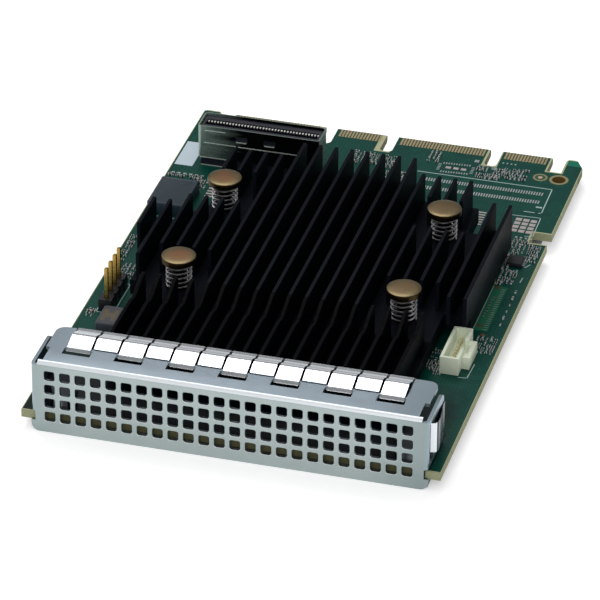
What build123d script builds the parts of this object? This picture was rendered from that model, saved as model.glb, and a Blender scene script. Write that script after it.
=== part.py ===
from build123d import *
import os
from math import cos, pi, sin

os.makedirs("parts", exist_ok=True)

# A storage controller card for a server's front mezzanine bay. X runs across the card,
# Y runs from the perforated bracket (-Y) to the contact edge (+Y), Z is up. The origin is
# at the middle of the card's footprint, on the surface that the card stands on.

# Card and board
card_length = 115.0
board_width = 76.0
board_thickness = 1.57
board_underside = 1.93
board_front_gap = 0.1
board_front_recess = 0.8
front_y = -card_length / 2
rear_y = card_length / 2
board_top = board_underside + board_thickness
fit_gap = 0.02
flush = 0.01

# Contact edge: groups of contacts, counted from the +X side, with key slots between
contact_width = 0.4
contact_length = 2.7
contact_thickness = 0.04
contact_setback = 0.55
contact_groups = (14, 28, 14, 28)
group_margin = 1.4
key_width = 2.4
key_depth = 6.5
edge_bevel = 0.4
ear_width = 3.6
ear_slot_width = 2.8
ear_slot_depth = 5.6
ear_chamfer_x = 1.6
ear_chamfer_y = 2.9
corner_radius = 0.9

# Holes and notch in the board
side_notch_depth = 3.6
side_notch_width = 4.0
side_notch_y = 26.5
locating_hole_inset = 3.4
locating_hole_diameter = 2.5
locating_ring_diameter = 3.7
test_ring_inset = 7.03
test_ring_diameter = 2.8
ring_row_y = 49.15
ring_thickness = 0.04

# Bracket, folded from one sheet
sheet = 0.6
bracket_width = 71.8
bracket_height = 14.2
bend_radius = 1.0
top_flange_depth = 12.65
top_flange_width = 69.4
flange_corner_radius = 1.8
relief_width = 0.8
relief_depth = 5.4
side_flange_depth = 10.8
side_flange_base = 4.0
side_flange_top = 13.6
side_corner_radius = 1.3
side_bend_radius = 0.9
face_corner_radius = 1.5
board_notch_depth = 0.75
board_notch_base = 2.2
vent_columns = 24
vent_rows = 4
vent_pitch_x = 2.81
vent_pitch_z = 2.78
vent_size = 1.95
vent_centre_x = -0.15
vent_centre_z = 7.35
tab_x = 31.3
tab_width = 7.0
tab_length = 8.0

# Grounding strips clipped over the rear edges of the bracket's flanges
strip_sheet = 0.15
finger_count = 13
finger_pitch = 4.73
finger_slit = 0.45
strip_centre_x = -0.45
clip_reach = 2.6
slot_width = 5.1
slot_length = 2.1
slot_reach = 8.8
side_finger_width = 5.9
side_window_height = 7.8
side_window_width = 2.6
side_window_reach = 9.8

# Spring fingers: distance in front of the flange's rear edge, and height over its outer face
long_finger = ((1.2, 0), (2.4, 0.62), (3.3, 0.85), (4.3, 0.68), (6.75, 0.04), (7.4, -0.45))
short_finger = ((1.2, 0), (2.4, 0.62), (3.3, 0.85), (4.3, 0.68), (6.3, 0.02))
side_finger = ((1.2, 0), (3.4, 0.38), (5.6, 0.62), (6.7, 0.62), (7.3, 0.3), (7.5, -0.45))

# Heatsink: a base plate with fins along Y
sink_underside = 5.5
sink_base = 3.0
fin_top = 14.3
fin_count = 22
fin_pitch = 3.045
first_fin_x = -31.8
fin_thickness = 0.7
sink_front = -43.6
fin_relief_y = -24.5
fin_relief_run = 2.8
fin_front_top = 13.2
fin_groove_width = 4.0
fin_groove_depth = 0.5
sink_base_top = sink_underside + sink_base

# Spring-loaded push pins that hold the heatsink down
pin_x = 21.0
pin_centre_y = -1.9
pin_spacing_y = 29.8
pin_head_top = 15.25
pin_head_diameter = 6.4
pin_head_thickness = 1.3
pin_head_rim = 0.4
pin_shoulder_diameter = 4.6
pin_shoulder_length = 1.1
pin_shank_diameter = 2.9
pin_hole_clearance = 0.4
barb_diameter = 4.0
barb_tip_diameter = 2.2
barb_split = 0.7
barb_split_depth = 3.0
spring_diameter = 4.9
spring_wire = 0.45
spring_turns = 4.5
spring_facets = 12
pin_pocket_x = 6.0
pin_pocket_front = 6.1
pin_pocket_rear = 4.6

# Chips under the heatsink
controller_size = 27.0
controller_substrate = 0.9
controller_lid_size = 17.0
pad_thickness = 0.3
memory_count = 5
memory_width = 7.5
memory_length = 11.0
memory_height = 1.1
memory_pitch = 8.6
memory_y = -30.5

# Storage connector: a metal shell round a plastic body with two contact rows
shell_inset = 4.85
shell_y = 39.0
shell_end_margin = 0.9
shell_width = 5.6
shell_top = 12.0
shell_skirt = 5.2
shell_sheet = 0.3
shell_corner = 0.7
socket_slot_width = 2.2
socket_slot_depth = 5.5
socket_recess = 0.5
socket_contacts = 37
socket_pitch = 0.6
socket_contact_width = 0.28
socket_contact_depth = 0.35
socket_contact_inset = 0.3

# Small white header
header_inset = 6.5
header_y = -19.5
header_width = 3.5
header_length = 11.0
header_top = 7.0
header_wall = 0.6
header_floor = 1.2
header_ledge = 1.4
header_ledge_length = 6.0
header_ledge_top = 6.0
header_pin_count = 9
header_pin_pitch = 1.0
header_pin_size = 0.35

# Service pin strip at the -X edge
strip_pin_count = 4
strip_pin_pitch = 2.54
strip_pin_size = 0.64
strip_pin_top = 12.1
strip_inset = 4.2
strip_y = -16.05
strip_base_height = 2.5


def save(part, name):
    part.label = name
    export_step(part, f"parts/{name}.step")


# Places that several pieces share
board_front = front_y + sheet + board_front_gap
left_side, right_side = -board_width / 2, board_width / 2
locating_hole_x = right_side - locating_hole_inset
test_ring_x = right_side - test_ring_inset
shell_left = left_side + shell_inset
header_x = right_side - header_inset
strip_x = left_side + strip_inset
tongue_edge = right_side - ear_width - ear_slot_width
keys_and_margins = key_width * (len(contact_groups) - 1) + group_margin * len(contact_groups)
contact_pitch = (2 * tongue_edge - keys_and_margins) / sum(contact_groups)
group_widths = [count * contact_pitch + group_margin for count in contact_groups]
pin_places = {
    "rear_left": (-pin_x, pin_centre_y + pin_spacing_y / 2),
    "front_left": (-pin_x, pin_centre_y - pin_spacing_y / 2),
    "rear_right": (pin_x, pin_centre_y + pin_spacing_y / 2),
    "front_right": (pin_x, pin_centre_y - pin_spacing_y / 2),
}
pin_hole_radius = (pin_shank_diameter + pin_hole_clearance) / 2
screw_hole_radius = 1.1
screw_y = board_front + tab_length / 2

# Left edge of each group of contacts, and the centre of each key slot
group_starts = []
key_centres = []
edge_x = tongue_edge
for width in group_widths:
    edge_x -= width
    group_starts.append(edge_x)
    key_centres.append(edge_x - key_width / 2)
    edge_x -= key_width
key_centres.pop()


# Circuit board
board_depth = rear_y - board_front
ear_slot_x = tongue_edge + ear_slot_width / 2
with BuildPart() as circuit_board:
    with BuildSketch(Plane.XY.offset(board_underside)):
        with Locations((0, board_front + board_depth / 2)):
            Rectangle(board_width, board_depth)
        with Locations((0, board_front)):
            Rectangle(bracket_width - 2 * sheet, 2 * board_front_recess, mode=Mode.SUBTRACT)
        with Locations(*[(x, rear_y - key_depth / 2 + corner_radius) for x in key_centres]):
            RectangleRounded(key_width, key_depth + 2 * corner_radius, corner_radius, mode=Mode.SUBTRACT)
        with Locations((ear_slot_x, rear_y), (-ear_slot_x, rear_y)):
            Rectangle(ear_slot_width, 2 * ear_slot_depth, mode=Mode.SUBTRACT)
        with Locations((right_side, side_notch_y)):
            Rectangle(2 * side_notch_depth, side_notch_width, mode=Mode.SUBTRACT)
        with BuildLine():
            Polyline(
                (right_side, rear_y),
                (right_side - ear_chamfer_x, rear_y),
                (right_side, rear_y - ear_chamfer_y),
                close=True,
            )
        make_face(mode=Mode.SUBTRACT)
        with Locations(*pin_places.values()):
            Circle(pin_hole_radius, mode=Mode.SUBTRACT)
        with Locations((locating_hole_x, ring_row_y)):
            Circle(locating_hole_diameter / 2, mode=Mode.SUBTRACT)
        with Locations((tab_x, screw_y), (-tab_x, screw_y)):
            Circle(screw_hole_radius, mode=Mode.SUBTRACT)
    extrude(amount=board_thickness)
    tongue_ends = (
        circuit_board.edges()
        .filter_by(Axis.X)
        .group_by(Axis.Y)[-1]
        .filter_by(lambda e: abs(e.center().X) < tongue_edge)
    )
    chamfer(tongue_ends, length=edge_bevel)
    ear_corners = circuit_board.edges().filter_by(Axis.Z).filter_by(
        lambda e: abs(e.center().X) > tongue_edge + flush and e.center().Y > rear_y - flush
    )
    fillet(ear_corners, radius=corner_radius)
save(circuit_board.part, "circuit_board")


# Gold contacts on both faces of the contact edge
contact_places = [
    (start + group_margin / 2 + contact_pitch * (index + 0.5), rear_y - contact_setback - contact_length / 2)
    for start, count in zip(group_starts, contact_groups)
    for index in range(count)
]
contact_faces = {
    "edge_contacts_top": board_top,
    "edge_contacts_bottom": board_underside - contact_thickness,
}
for name, height in contact_faces.items():
    with BuildPart() as edge_contacts:
        with BuildSketch(Plane.XY.offset(height)):
            with Locations(*contact_places):
                Rectangle(contact_width, contact_length)
        extrude(amount=contact_thickness)
    save(edge_contacts.part, name)


# Plated rings round the locating hole and the test point beside it
with BuildPart() as plated_rings:
    with BuildSketch(Plane.XY.offset(board_top)):
        with Locations((locating_hole_x, ring_row_y)):
            Circle(locating_ring_diameter / 2)
            Circle(locating_hole_diameter / 2 + ring_thickness, mode=Mode.SUBTRACT)
        with Locations((test_ring_x, ring_row_y)):
            Circle(test_ring_diameter / 2)
    extrude(amount=ring_thickness)
save(plated_rings.part, "plated_rings")


# Bracket: face, top flange and two side flanges folded from one sheet
flange_rear = front_y + top_flange_depth
side_rear = front_y + side_flange_depth
half_bracket = bracket_width / 2
strip_left = strip_centre_x - finger_count * finger_pitch / 2
finger_centres = [strip_left + finger_pitch * (index + 0.5) for index in range(finger_count)]
slot_y = flange_rear - slot_reach + slot_length / 2
side_window_y = side_rear - side_window_reach + side_window_width / 2
side_window_z = (side_flange_base + side_flange_top) / 2
with BuildPart() as io_bracket:
    with BuildSketch(Plane.XZ.offset(-front_y)):
        with Locations((0, 0)):
            Rectangle(bracket_width, side_flange_base, align=(Align.CENTER, Align.MIN))
        for side in (-1, 1):
            with Locations((side * half_bracket, (board_notch_base + side_flange_base) / 2)):
                Rectangle(
                    2 * board_notch_depth,
                    side_flange_base - board_notch_base,
                    mode=Mode.SUBTRACT,
                )
    extrude(amount=-sheet)
    with BuildSketch(Plane.XY.offset(side_flange_base)):
        with Locations((0, front_y)):
            with BuildSketch(mode=Mode.PRIVATE) as outside:
                Rectangle(bracket_width, side_flange_depth, align=(Align.CENTER, Align.MIN))
                fillet(outside.vertices().group_by(Axis.Y)[0], radius=side_bend_radius)
            with BuildSketch(mode=Mode.PRIVATE) as inside:
                with Locations((0, sheet)):
                    Rectangle(
                        bracket_width - 2 * sheet,
                        side_flange_depth,
                        align=(Align.CENTER, Align.MIN),
                    )
                fillet(inside.vertices().group_by(Axis.Y)[0], radius=side_bend_radius - sheet)
            add(outside.sketch)
            add(inside.sketch, mode=Mode.SUBTRACT)
    extrude(amount=side_flange_top - side_flange_base)
    with BuildSketch(Plane.YZ.offset(-top_flange_width / 2)):
        with Locations((front_y, 0)):
            with BuildSketch(mode=Mode.PRIVATE) as outside:
                with Locations((0, side_flange_base)):
                    Rectangle(
                        top_flange_depth,
                        bracket_height - side_flange_base,
                        align=(Align.MIN, Align.MIN),
                    )
                fillet(outside.vertices().group_by(Axis.X)[0].sort_by(Axis.Y)[-1], radius=bend_radius)
            with BuildSketch(mode=Mode.PRIVATE) as inside:
                with Locations((sheet, side_flange_base)):
                    Rectangle(
                        top_flange_depth,
                        bracket_height - side_flange_base - sheet,
                        align=(Align.MIN, Align.MIN),
                    )
                fillet(
                    inside.vertices().group_by(Axis.X)[0].sort_by(Axis.Y)[-1],
                    radius=bend_radius - sheet,
                )
            add(outside.sketch)
            add(inside.sketch, mode=Mode.SUBTRACT)
    extrude(amount=top_flange_width)
    with BuildSketch(Plane.XY.offset(board_underside - sheet)):
        for side in (-1, 1):
            with Locations((side * tab_x, front_y)):
                Rectangle(tab_width, sheet + tab_length, align=(Align.CENTER, Align.MIN))
            with Locations((side * tab_x, screw_y)):
                Circle(screw_hole_radius, mode=Mode.SUBTRACT)
    extrude(amount=sheet)
    flange_corners = io_bracket.edges().filter_by(Axis.Z).filter_by(
        lambda e: e.center().Y > flange_rear - flush and e.center().Z > side_flange_base
    )
    fillet(flange_corners, radius=flange_corner_radius)
    side_corners = io_bracket.edges().filter_by(Axis.X).filter_by(
        lambda e: abs(e.center().Y - side_rear) < flush and e.center().Z > side_flange_top - flush
    )
    fillet(side_corners, radius=side_corner_radius)
    face_corners = io_bracket.edges().filter_by(Axis.Y).filter_by(
        lambda e: e.center().Z < fit_gap and abs(e.center().X) > half_bracket - fit_gap
    )
    fillet(face_corners, radius=face_corner_radius)
    with BuildSketch(Plane.XZ.offset(-front_y)):
        with Locations((vent_centre_x, vent_centre_z)):
            with GridLocations(vent_pitch_x, vent_pitch_z, vent_columns, vent_rows):
                Rectangle(vent_size, vent_size)
    extrude(amount=-sheet, mode=Mode.SUBTRACT)
    with BuildSketch(Plane.XY.offset(bracket_height - sheet)):
        with Locations(*[(x, slot_y) for x in finger_centres[::2]]):
            Rectangle(slot_width, slot_length)
        for side in (-1, 1):
            with Locations((side * top_flange_width / 2, front_y + bend_radius)):
                Rectangle(
                    2 * relief_width,
                    relief_depth - bend_radius,
                    align=(Align.CENTER, Align.MIN),
                )
    extrude(amount=sheet, mode=Mode.SUBTRACT)
    for wall_x in (-half_bracket, half_bracket - sheet):
        with BuildSketch(Plane.YZ.offset(wall_x)):
            with Locations((side_window_y, side_window_z)):
                Rectangle(side_window_width, side_window_height)
        extrude(amount=sheet, mode=Mode.SUBTRACT)
save(io_bracket.part, "io_bracket")


def finger_profile(rear, finger):
    """Outline of one finger of the strip, from the rear edge it is clipped over to its tip.

    The first coordinate runs back along the flange, the second one away from its outer face.
    """
    points = [(rear, 0)] + [(rear - reach, rise) for reach, rise in finger]
    outer = []
    for index, (along, out) in enumerate(points):
        before = points[max(index - 1, 0)]
        after = points[min(index + 1, len(points) - 1)]
        run = before[0] - after[0]
        climb = after[1] - before[1]
        length = (run**2 + climb**2) ** 0.5
        outer.append((along + strip_sheet * climb / length, out + strip_sheet * run / length))
    with BuildSketch() as outline:
        with BuildLine():
            Polyline(*points, *reversed(outer), close=True)
        make_face()
    return outline.sketch


def clip_profile(rear):
    """Outline of the bend that wraps a flange's rear edge and grips its inner face."""
    with BuildSketch() as outline:
        with BuildLine():
            Polyline(
                (rear, strip_sheet),
                (rear + strip_sheet, strip_sheet),
                (rear + strip_sheet, -sheet - strip_sheet),
                (rear - clip_reach, -sheet - strip_sheet),
                (rear - clip_reach, -sheet),
                (rear, -sheet),
                close=True,
            )
        make_face()
    return outline.sketch


# Grounding strip along the top flange, its fingers by turns long and short
finger_width = finger_pitch - finger_slit
with BuildPart() as top_spring_strip:
    with BuildSketch(Plane.YZ.offset(strip_left)) as clip:
        with Locations((0, bracket_height)):
            add(clip_profile(flange_rear))
    extrude(amount=finger_count * finger_pitch)
    for index, centre in enumerate(finger_centres):
        finger = short_finger if index % 2 else long_finger
        with BuildSketch(Plane.YZ.offset(centre - finger_width / 2)):
            with Locations((0, bracket_height)):
                add(finger_profile(flange_rear, finger))
        extrude(amount=finger_width)
save(top_spring_strip.part, "top_spring_strip")

# One-finger strips on the side flanges, whose tips reach into the windows
for side, name in ((-1, "side_spring_left"), (1, "side_spring_right")):
    wall = Plane(
        origin=(side * half_bracket, 0, side_window_z - side_finger_width / 2),
        x_dir=(0, 1, 0),
        z_dir=(0, 0, -side),
    )
    with BuildPart() as side_spring:
        with BuildSketch(wall):
            add(clip_profile(side_rear))
            add(finger_profile(side_rear, side_finger))
        extrude(amount=-side * side_finger_width)
    save(side_spring.part, name)


# Screws through the bracket's tabs, and the nuts that they hold on the board
nut_diameter = 5.0
nut_height = 3.0
screw_head_diameter = 3.6
screw_head_height = 1.1
screw_recess_width = 0.5
screw_recess_length = 2.4
screw_places = [(-tab_x, screw_y), (tab_x, screw_y)]
tab_underside = board_underside - sheet
with BuildPart() as bracket_nuts:
    with BuildSketch(Plane.XY.offset(board_top)):
        with Locations(*screw_places):
            RegularPolygon(nut_diameter / 2, 6)
            Circle(screw_hole_radius, mode=Mode.SUBTRACT)
    extrude(amount=nut_height)
save(bracket_nuts.part, "bracket_nuts")
with BuildPart() as bracket_screws:
    with BuildSketch(Plane.XY.offset(tab_underside - screw_head_height)):
        with Locations(*screw_places):
            Circle(screw_head_diameter / 2)
    extrude(amount=screw_head_height)
    with BuildSketch(Plane.XY.offset(tab_underside)):
        with Locations(*screw_places):
            Circle(screw_hole_radius - fit_gap)
    extrude(amount=board_top + nut_height - tab_underside)
    heads = bracket_screws.edges().group_by(Axis.Z)[0]
    chamfer(heads, length=screw_head_height / 3)
    with BuildSketch(Plane.XY.offset(tab_underside - screw_head_height)):
        with Locations(*screw_places):
            Rectangle(screw_recess_width, screw_recess_length)
            Rectangle(screw_recess_length, screw_recess_width)
    extrude(amount=screw_head_height / 2, mode=Mode.SUBTRACT)
save(bracket_screws.part, "bracket_screws")


# Heatsink: fin groups as (first fin, last fin, rear end, front end, front end of the base)
fin_groups = (
    (0, 0, 3.8, -6.4, -6.4),
    (1, 1, 3.8, -17.0, -17.0),
    (2, 2, 10.5, sink_front, sink_front),
    (3, 6, 25.8, sink_front, sink_front),
    (7, 14, 31.2, sink_front, sink_front),
    (15, 18, 25.8, sink_front, sink_front),
    (19, 19, 16.6, sink_front, sink_front),
    (20, 21, 18.8, -16.5, -13.0),
)
fin_places = [first_fin_x + fin_pitch * index for index in range(fin_count)]
base_margin = fin_thickness / 2
fin_height = fin_top - sink_base_top
relief_end = fin_relief_y - fin_relief_run
with BuildPart() as heatsink:
    with BuildSketch(Plane.XY.offset(sink_underside)):
        for first, last, rear, _, front in fin_groups:
            left = fin_places[first] - (fin_pitch / 2 if first else base_margin)
            right = fin_places[last] + (fin_pitch / 2 if last < fin_count - 1 else base_margin)
            with Locations(((left + right) / 2, (rear + front) / 2)):
                Rectangle(right - left, rear - front)
    extrude(amount=sink_base)
    with BuildSketch(Plane.XY.offset(sink_base_top)):
        for first, last, rear, front, _ in fin_groups:
            with Locations(*[(fin_places[i], (rear + front) / 2) for i in range(first, last + 1)]):
                Rectangle(fin_thickness, rear - front)
    extrude(amount=fin_height)
    with BuildSketch(Plane.YZ.offset(fin_places[0] - fin_pitch)):
        with BuildLine():
            Polyline(
                (fin_relief_y, fin_top),
                (relief_end, fin_front_top),
                (relief_end - fin_groove_width / 2, fin_front_top - fin_groove_depth),
                (relief_end - fin_groove_width, fin_front_top),
                (sink_front, fin_front_top),
                (sink_front, fin_top),
                close=True,
            )
        make_face()
    extrude(amount=fin_pitch * (fin_count + 1), mode=Mode.SUBTRACT)
    with BuildSketch(Plane.XY.offset(sink_base_top)):
        for x, y in pin_places.values():
            with Locations((x, y + (pin_pocket_rear - pin_pocket_front) / 2)):
                Rectangle(2 * pin_pocket_x, pin_pocket_front + pin_pocket_rear)
    extrude(amount=fin_height, mode=Mode.SUBTRACT)
    with BuildSketch(Plane.XY.offset(sink_underside)):
        with Locations(*pin_places.values()):
            Circle(pin_hole_radius)
    extrude(amount=sink_base, mode=Mode.SUBTRACT)
save(heatsink.part, "heatsink")


# Push pins and the springs under their heads
shoulder_base = pin_head_top - pin_head_thickness - pin_shoulder_length
for place, (x, y) in pin_places.items():
    with BuildPart() as push_pin:
        with BuildSketch(Plane.XZ):
            with BuildLine():
                Polyline(
                    (0, 0),
                    (barb_tip_diameter / 2, 0),
                    (barb_diameter / 2, board_underside - 3 * fit_gap),
                    (pin_shank_diameter / 2, board_underside - fit_gap),
                    (pin_shank_diameter / 2, shoulder_base),
                    (pin_shoulder_diameter / 2, shoulder_base),
                    (pin_shoulder_diameter / 2, pin_head_top - pin_head_thickness),
                    (pin_head_diameter / 2, pin_head_top - pin_head_thickness),
                    (pin_head_diameter / 2, pin_head_top),
                    (0, pin_head_top),
                    close=True,
                )
            make_face()
        revolve(axis=Axis.Z)
        head_rim = push_pin.edges().filter_by(GeomType.CIRCLE).sort_by(Axis.Z)[-1]
        chamfer(head_rim, length=pin_head_rim)
        with BuildSketch(Plane.XY):
            Rectangle(barb_diameter, barb_split)
        extrude(amount=barb_split_depth, mode=Mode.SUBTRACT)
    save(push_pin.part.moved(Location((x, y, 0))), f"push_pin_{place}")

spring_length = shoulder_base - sink_base_top - spring_wire - 2 * fit_gap
spring_radius = (spring_diameter - spring_wire) / 2
spring_start = sink_base_top + spring_wire / 2 + fit_gap
spring_steps = round(spring_turns * spring_facets)
for place, (x, y) in pin_places.items():
    coil = [
        (
            x + spring_radius * cos(2 * pi * step / spring_facets),
            y + spring_radius * sin(2 * pi * step / spring_facets),
            spring_start + spring_length * step / spring_steps,
        )
        for step in range(spring_steps + 1)
    ]
    with BuildPart() as pin_spring:
        with BuildLine() as coil_line:
            Polyline(*coil)
        with BuildSketch(Plane(origin=coil[0], z_dir=coil_line.line % 0)):
            RegularPolygon(spring_wire / 2, 4, rotation=45)
        sweep(path=coil_line.line, transition=Transition.RIGHT)
    save(pin_spring.part, f"pin_spring_{place}")


# Controller chip with its lid, and the pad between the lid and the heatsink
controller_top = sink_underside - pad_thickness
with BuildPart() as controller_chip:
    with BuildSketch(Plane.XY.offset(board_top)):
        with Locations((0, pin_centre_y)):
            Rectangle(controller_size, controller_size)
    extrude(amount=controller_substrate)
    with BuildSketch(Plane.XY.offset(board_top + controller_substrate)):
        with Locations((0, pin_centre_y)):
            Rectangle(controller_lid_size, controller_lid_size)
    extrude(amount=controller_top - board_top - controller_substrate)
save(controller_chip.part, "controller_chip")
with BuildPart() as controller_pad:
    with BuildSketch(Plane.XY.offset(controller_top)):
        with Locations((0, pin_centre_y)):
            Rectangle(controller_lid_size - 2, controller_lid_size - 2)
    extrude(amount=pad_thickness)
save(controller_pad.part, "controller_pad")

# Cache memory chips in a row, with one soft pad over all of them
memory_row = memory_pitch * (memory_count - 1)
for index in range(memory_count):
    x = memory_pitch * index - memory_row / 2
    with BuildPart() as memory_chip:
        with BuildSketch(Plane.XY.offset(board_top)):
            with Locations((x, memory_y)):
                Rectangle(memory_width, memory_length)
        extrude(amount=memory_height)
    save(memory_chip.part, f"memory_chip_{index + 1}")
with BuildPart() as memory_pad:
    with BuildSketch(Plane.XY.offset(board_top + memory_height)):
        with Locations((0, memory_y)):
            Rectangle(memory_row + memory_width, memory_length - 2)
    extrude(amount=sink_underside - board_top - memory_height)
save(memory_pad.part, "memory_pad")


# Storage connector: shell
shell_length = socket_contacts * socket_pitch + 2 * shell_end_margin
shell_x = shell_left + shell_length / 2
window_x = (-3.35, 2.15)
window_width = 2.3
window_height = 1.1
window_z = 10.0
shell_front = shell_y - shell_width / 2
shell_foot_width = 1.6
with BuildPart() as storage_shell:
    with BuildSketch(Plane.XY.offset(shell_skirt)):
        with Locations((shell_x, shell_y)):
            RectangleRounded(shell_length, shell_width, shell_corner)
            RectangleRounded(
                shell_length - 2 * shell_sheet,
                shell_width - 2 * shell_sheet,
                shell_corner - shell_sheet,
                mode=Mode.SUBTRACT,
            )
    extrude(amount=shell_top - shell_skirt)
    for wall_y in (shell_front, shell_y + shell_width / 2 - shell_sheet):
        with BuildSketch(Plane.XZ.offset(-wall_y)):
            with Locations(*[(shell_x + x, window_z) for x in window_x]):
                Rectangle(window_width, window_height)
        extrude(amount=-shell_sheet, mode=Mode.SUBTRACT)
    for end in (-1, 1):
        with BuildSketch(Plane.XY.offset(board_top)):
            with Locations((shell_x + end * (shell_length - shell_sheet) / 2, shell_y)):
                Rectangle(shell_sheet, shell_foot_width)
        extrude(amount=shell_skirt - board_top)
save(storage_shell.part, "storage_shell")

# Storage connector: plastic body with a slot for the plug's paddle
inner_length = shell_length - 2 * shell_sheet - 2 * fit_gap
inner_width = shell_width - 2 * shell_sheet - 2 * fit_gap
body_top = shell_top - socket_recess
slot_floor = body_top - socket_slot_depth
contact_row_y = (socket_slot_width - socket_contact_depth) / 2 - fit_gap
with BuildPart() as storage_body:
    with BuildSketch(Plane.XY.offset(board_top)):
        with Locations((shell_x, shell_y)):
            RectangleRounded(inner_length, inner_width, shell_corner - shell_sheet)
            for end in (-1, 1):
                with Locations((end * inner_length / 2, 0)):
                    Rectangle(2 * fit_gap + 0.2, shell_foot_width + 2 * fit_gap, mode=Mode.SUBTRACT)
    extrude(amount=body_top - board_top)
    with BuildSketch(Plane.XY.offset(body_top)):
        with Locations((shell_x, shell_y)):
            Rectangle(socket_contacts * socket_pitch, socket_slot_width)
    extrude(amount=-socket_slot_depth, mode=Mode.SUBTRACT)
save(storage_body.part, "storage_body")

# Storage connector: a row of contacts along each side of the slot
contact_rise = socket_slot_depth - socket_contact_inset
for row, name in ((-1, "storage_contacts_front"), (1, "storage_contacts_rear")):
    row_y = shell_y + row * contact_row_y
    with BuildPart() as storage_contacts:
        with BuildSketch(Plane.XY.offset(slot_floor)):
            with Locations((shell_x, row_y)):
                with GridLocations(socket_pitch, 1, socket_contacts, 1):
                    Rectangle(socket_contact_width, socket_contact_depth)
        extrude(amount=contact_rise)
    save(storage_contacts.part, name)


# White header: open box with a stepped ledge on its +X side
with BuildPart() as header_housing:
    with BuildSketch(Plane.XY.offset(board_top)):
        with Locations((header_x, header_y)):
            Rectangle(header_width, header_length)
    extrude(amount=header_top - board_top)
    with BuildSketch(Plane.XY.offset(board_top)):
        with Locations((header_x + (header_width + header_ledge) / 2, header_y)):
            Rectangle(header_ledge, header_ledge_length)
    extrude(amount=header_ledge_top - board_top)
    with BuildSketch(Plane.XY.offset(board_top + header_floor)):
        with Locations((header_x, header_y)):
            Rectangle(header_width - 2 * header_wall, header_length - 2 * header_wall)
        with Locations((header_x + header_width / 2, header_y)):
            Rectangle(2 * header_wall, header_ledge_length / 2)
    extrude(amount=header_top - board_top, mode=Mode.SUBTRACT)
    with BuildSketch(Plane.XY.offset(board_top)):
        with Locations((header_x, header_y)):
            with GridLocations(1, header_pin_pitch, 1, header_pin_count):
                Rectangle(header_pin_size + 2 * fit_gap, header_pin_size + 2 * fit_gap)
    extrude(amount=header_floor, mode=Mode.SUBTRACT)
save(header_housing.part, "header_housing")
with BuildPart() as header_pins:
    with BuildSketch(Plane.XY.offset(board_top)):
        with Locations((header_x, header_y)):
            with GridLocations(1, header_pin_pitch, 1, header_pin_count):
                Rectangle(header_pin_size, header_pin_size)
    extrude(amount=header_top - board_top - 2 * header_wall)
save(header_pins.part, "header_pins")


# Service pin strip: moulded base and square pins
base_notch = 0.7
base_half_width = strip_pin_pitch / 2
notch_rows = [strip_y + strip_pin_pitch * (index - strip_pin_count / 2) for index in range(1, strip_pin_count)]
with BuildPart() as pin_strip_base:
    with BuildSketch(Plane.XY.offset(board_top)):
        with Locations((strip_x, strip_y)):
            Rectangle(strip_pin_pitch, strip_pin_pitch * strip_pin_count)
            with GridLocations(1, strip_pin_pitch, 1, strip_pin_count):
                Rectangle(strip_pin_size + fit_gap, strip_pin_size + fit_gap, mode=Mode.SUBTRACT)
        for side in (-1, 1):
            with Locations(*[(strip_x + side * base_half_width, y) for y in notch_rows]):
                Rectangle(base_notch, base_notch, rotation=45, mode=Mode.SUBTRACT)
    extrude(amount=strip_base_height)
save(pin_strip_base.part, "pin_strip_base")
with BuildPart() as pin_strip_pins:
    with BuildSketch(Plane.XY.offset(board_top)):
        with Locations((strip_x, strip_y)):
            with GridLocations(1, strip_pin_pitch, 1, strip_pin_count):
                Rectangle(strip_pin_size, strip_pin_size)
    extrude(amount=strip_pin_top - board_top)
    tips = pin_strip_pins.edges().group_by(Axis.Z)[-1]
    chamfer(tips, length=strip_pin_size / 4)
save(pin_strip_pins.part, "pin_strip_pins")


# Large moulded inductor at the -X edge, and a smaller one in front of the pin strip
moulded_parts = {
    "large_inductor": (left_side + 4.6, 20.8, 7.4, 10.2, 2.5, 0.25),
    "small_inductor": (left_side + 6.65, -25.8, 3.8, 6.4, 2.5, 0.25),
}
moulded_edge = 0.2
for name, (x, y, width, length, height, corner) in moulded_parts.items():
    with BuildPart() as moulded_part:
        with BuildSketch(Plane.XY.offset(board_top)):
            with Locations((x, y)):
                Rectangle(width, length)
        extrude(amount=height)
        chamfer(moulded_part.edges().filter_by(Axis.Z), length=corner)
        chamfer(moulded_part.edges().group_by(Axis.Z)[-1], length=moulded_edge)
    save(moulded_part.part, name)


# Leaded chips in view: body, and a row of bent leads on each long side
leaded_chips = {
    "clock_chip": (right_side - 4.1, 16.3, 3.0, 3.2, 0.95, 4),
    "regulator_chip": (left_side + 5.5, -33.2, 4.4, 3.6, 1.1, 4),
}
lead_width = 0.3
lead_sheet = 0.15
lead_reach = 0.5
lead_pitch = 0.65
for name, (x, y, width, length, height, leads) in leaded_chips.items():
    with BuildPart() as leaded_chip:
        with BuildSketch(Plane.XY.offset(board_top + lead_sheet)):
            with Locations((x, y)):
                Rectangle(width, length)
        extrude(amount=height - lead_sheet)
        with BuildSketch(Plane.XY.offset(board_top)):
            with Locations((x, y)):
                with GridLocations(width + lead_reach, lead_pitch, 2, leads):
                    Rectangle(3 * lead_reach, lead_width)
        extrude(amount=lead_sheet)
    save(leaded_chip.part, name)


def chip_rows(rows, size):
    """Centres of small chip parts laid out in straight rows (x, y, columns, lines, pitch)."""
    return [
        (x + (column - (columns - 1) / 2) * pitch, y + (line - (lines - 1) / 2) * 1.6 * size)
        for x, y, columns, lines, pitch in rows
        for column in range(columns)
        for line in range(lines)
    ]


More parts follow.
